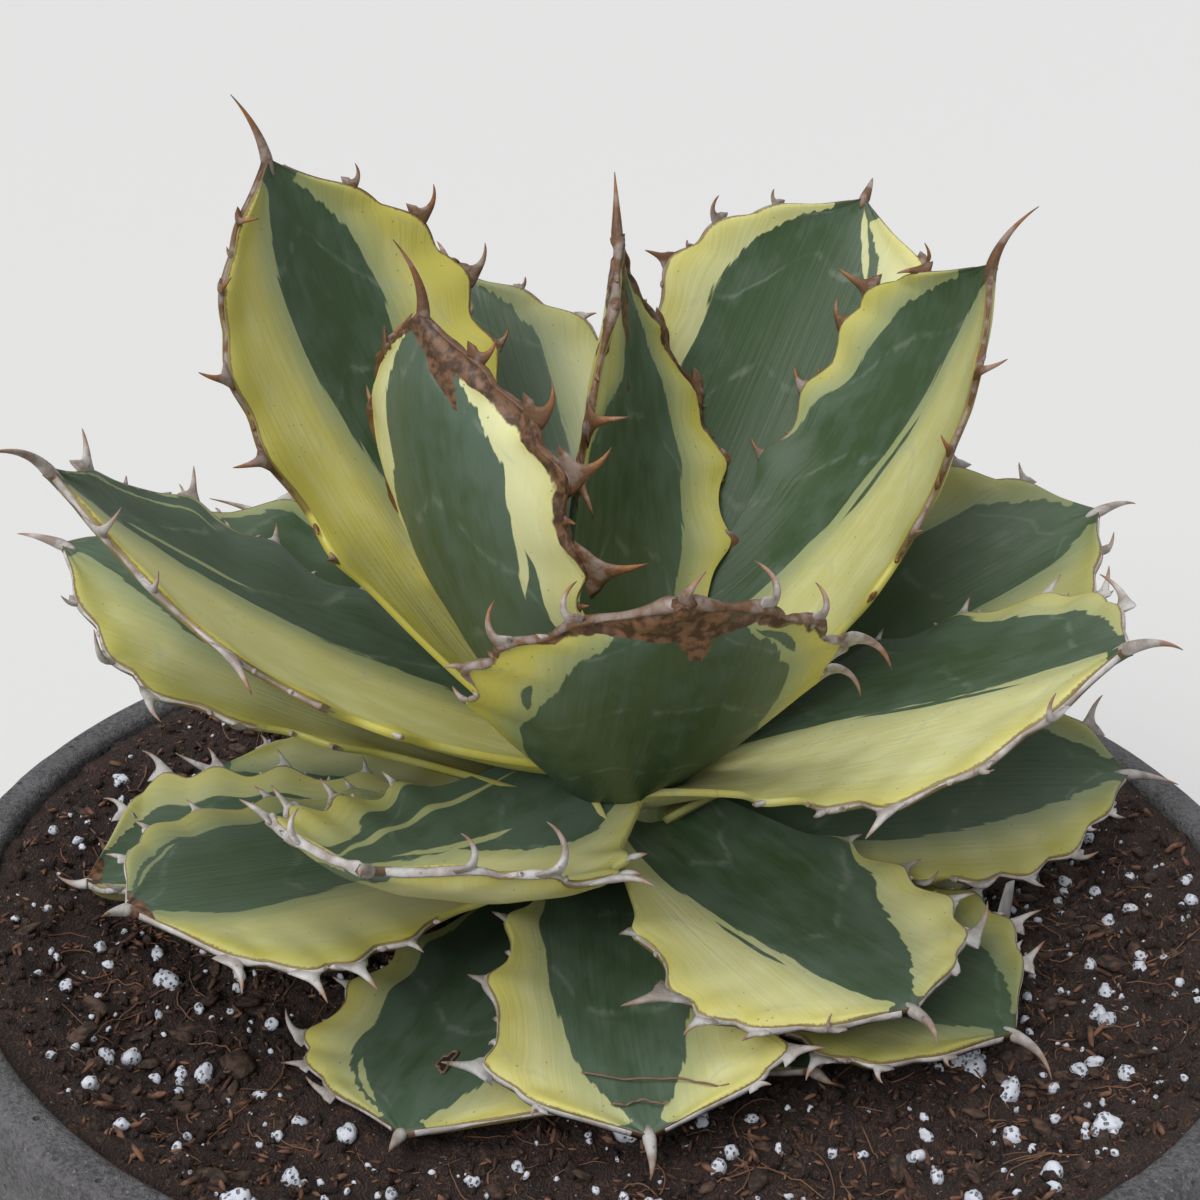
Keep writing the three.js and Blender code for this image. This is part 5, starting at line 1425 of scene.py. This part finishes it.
rim_path = hole_ring(-HOLE_RIM_LIFT)
shape = Shape()
shape.add(*fibre(np.vstack([rim_path, rim_path[:2]]), HOLE_RIM_RADIUS))
seats = np.arange(HOLE_STEPS)
fan = np.stack([np.full(HOLE_STEPS, HOLE_STEPS), seats, (seats + 1) % HOLE_STEPS], 1)
for depth, facing in HOLE_FACES:
    patch_ring = hole_ring(depth)
    shape.add(np.vstack([patch_ring, patch_ring.mean(axis=0)]), fan[:, ::facing].tolist(), 1)
piece = shape.put("torn_hole", [dried_material, hole_shade_material])
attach(piece, "root")
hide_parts(f"leaf_{HOLE_LEAF:02d}")

# The grey end of an old leaf that stands in the soil at the right: a flat dry strip, narrower at its top.
# It is a closed tube with an upright path, grey with paler streaks.
STUB_FOOT = (102.0, -27.0)
STUB_TOP = (105.5, -22.0, 157.0)
STUB_SUNK = 3
STUB_HALF = (3.4, 0.7)
STUB_TAPER = 0.5
STUB_POWER = 3
STUB_STEPS = 12
STUB_SIDES = 12
STUB_WIDE_WAY = (0.8, 0.6, 0.0)
STUB_THICK_WAY = (-0.6, 0.8, 0.0)
STUB_GREY = (0.12, 0.125, 0.11)
STUB_GRAIN = 500
stub_paint = Paint("old_leaf_end")
tone = stub_paint.noise(stub_paint.place(scale=(1, 1, 0.2)), STUB_GRAIN, 3)
stub_material = stub_paint.finish(stub_paint.blend(tone, STUB_GREY, HORN_SILVER), 0.7)
foot_height = float(soil_height(*np.array(STUB_FOOT))) - STUB_SUNK
share = np.linspace(0, 1, STUB_STEPS)[:, None]
path = mix(np.array([*STUB_FOOT, foot_height]), np.array(STUB_TOP), share)
taper = 1 - STUB_TAPER * share[:, 0] ** STUB_POWER
ways = (np.tile(np.array(way), (STUB_STEPS, 1)) for way in (STUB_WIDE_WAY, STUB_THICK_WAY))
points, faces = tube(path, *ways, STUB_HALF[0] * taper, STUB_HALF[1] * taper, STUB_SIDES)
piece = put_piece("old_leaf_end", points, faces, [stub_material])
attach(piece, "root")
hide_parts("soil")
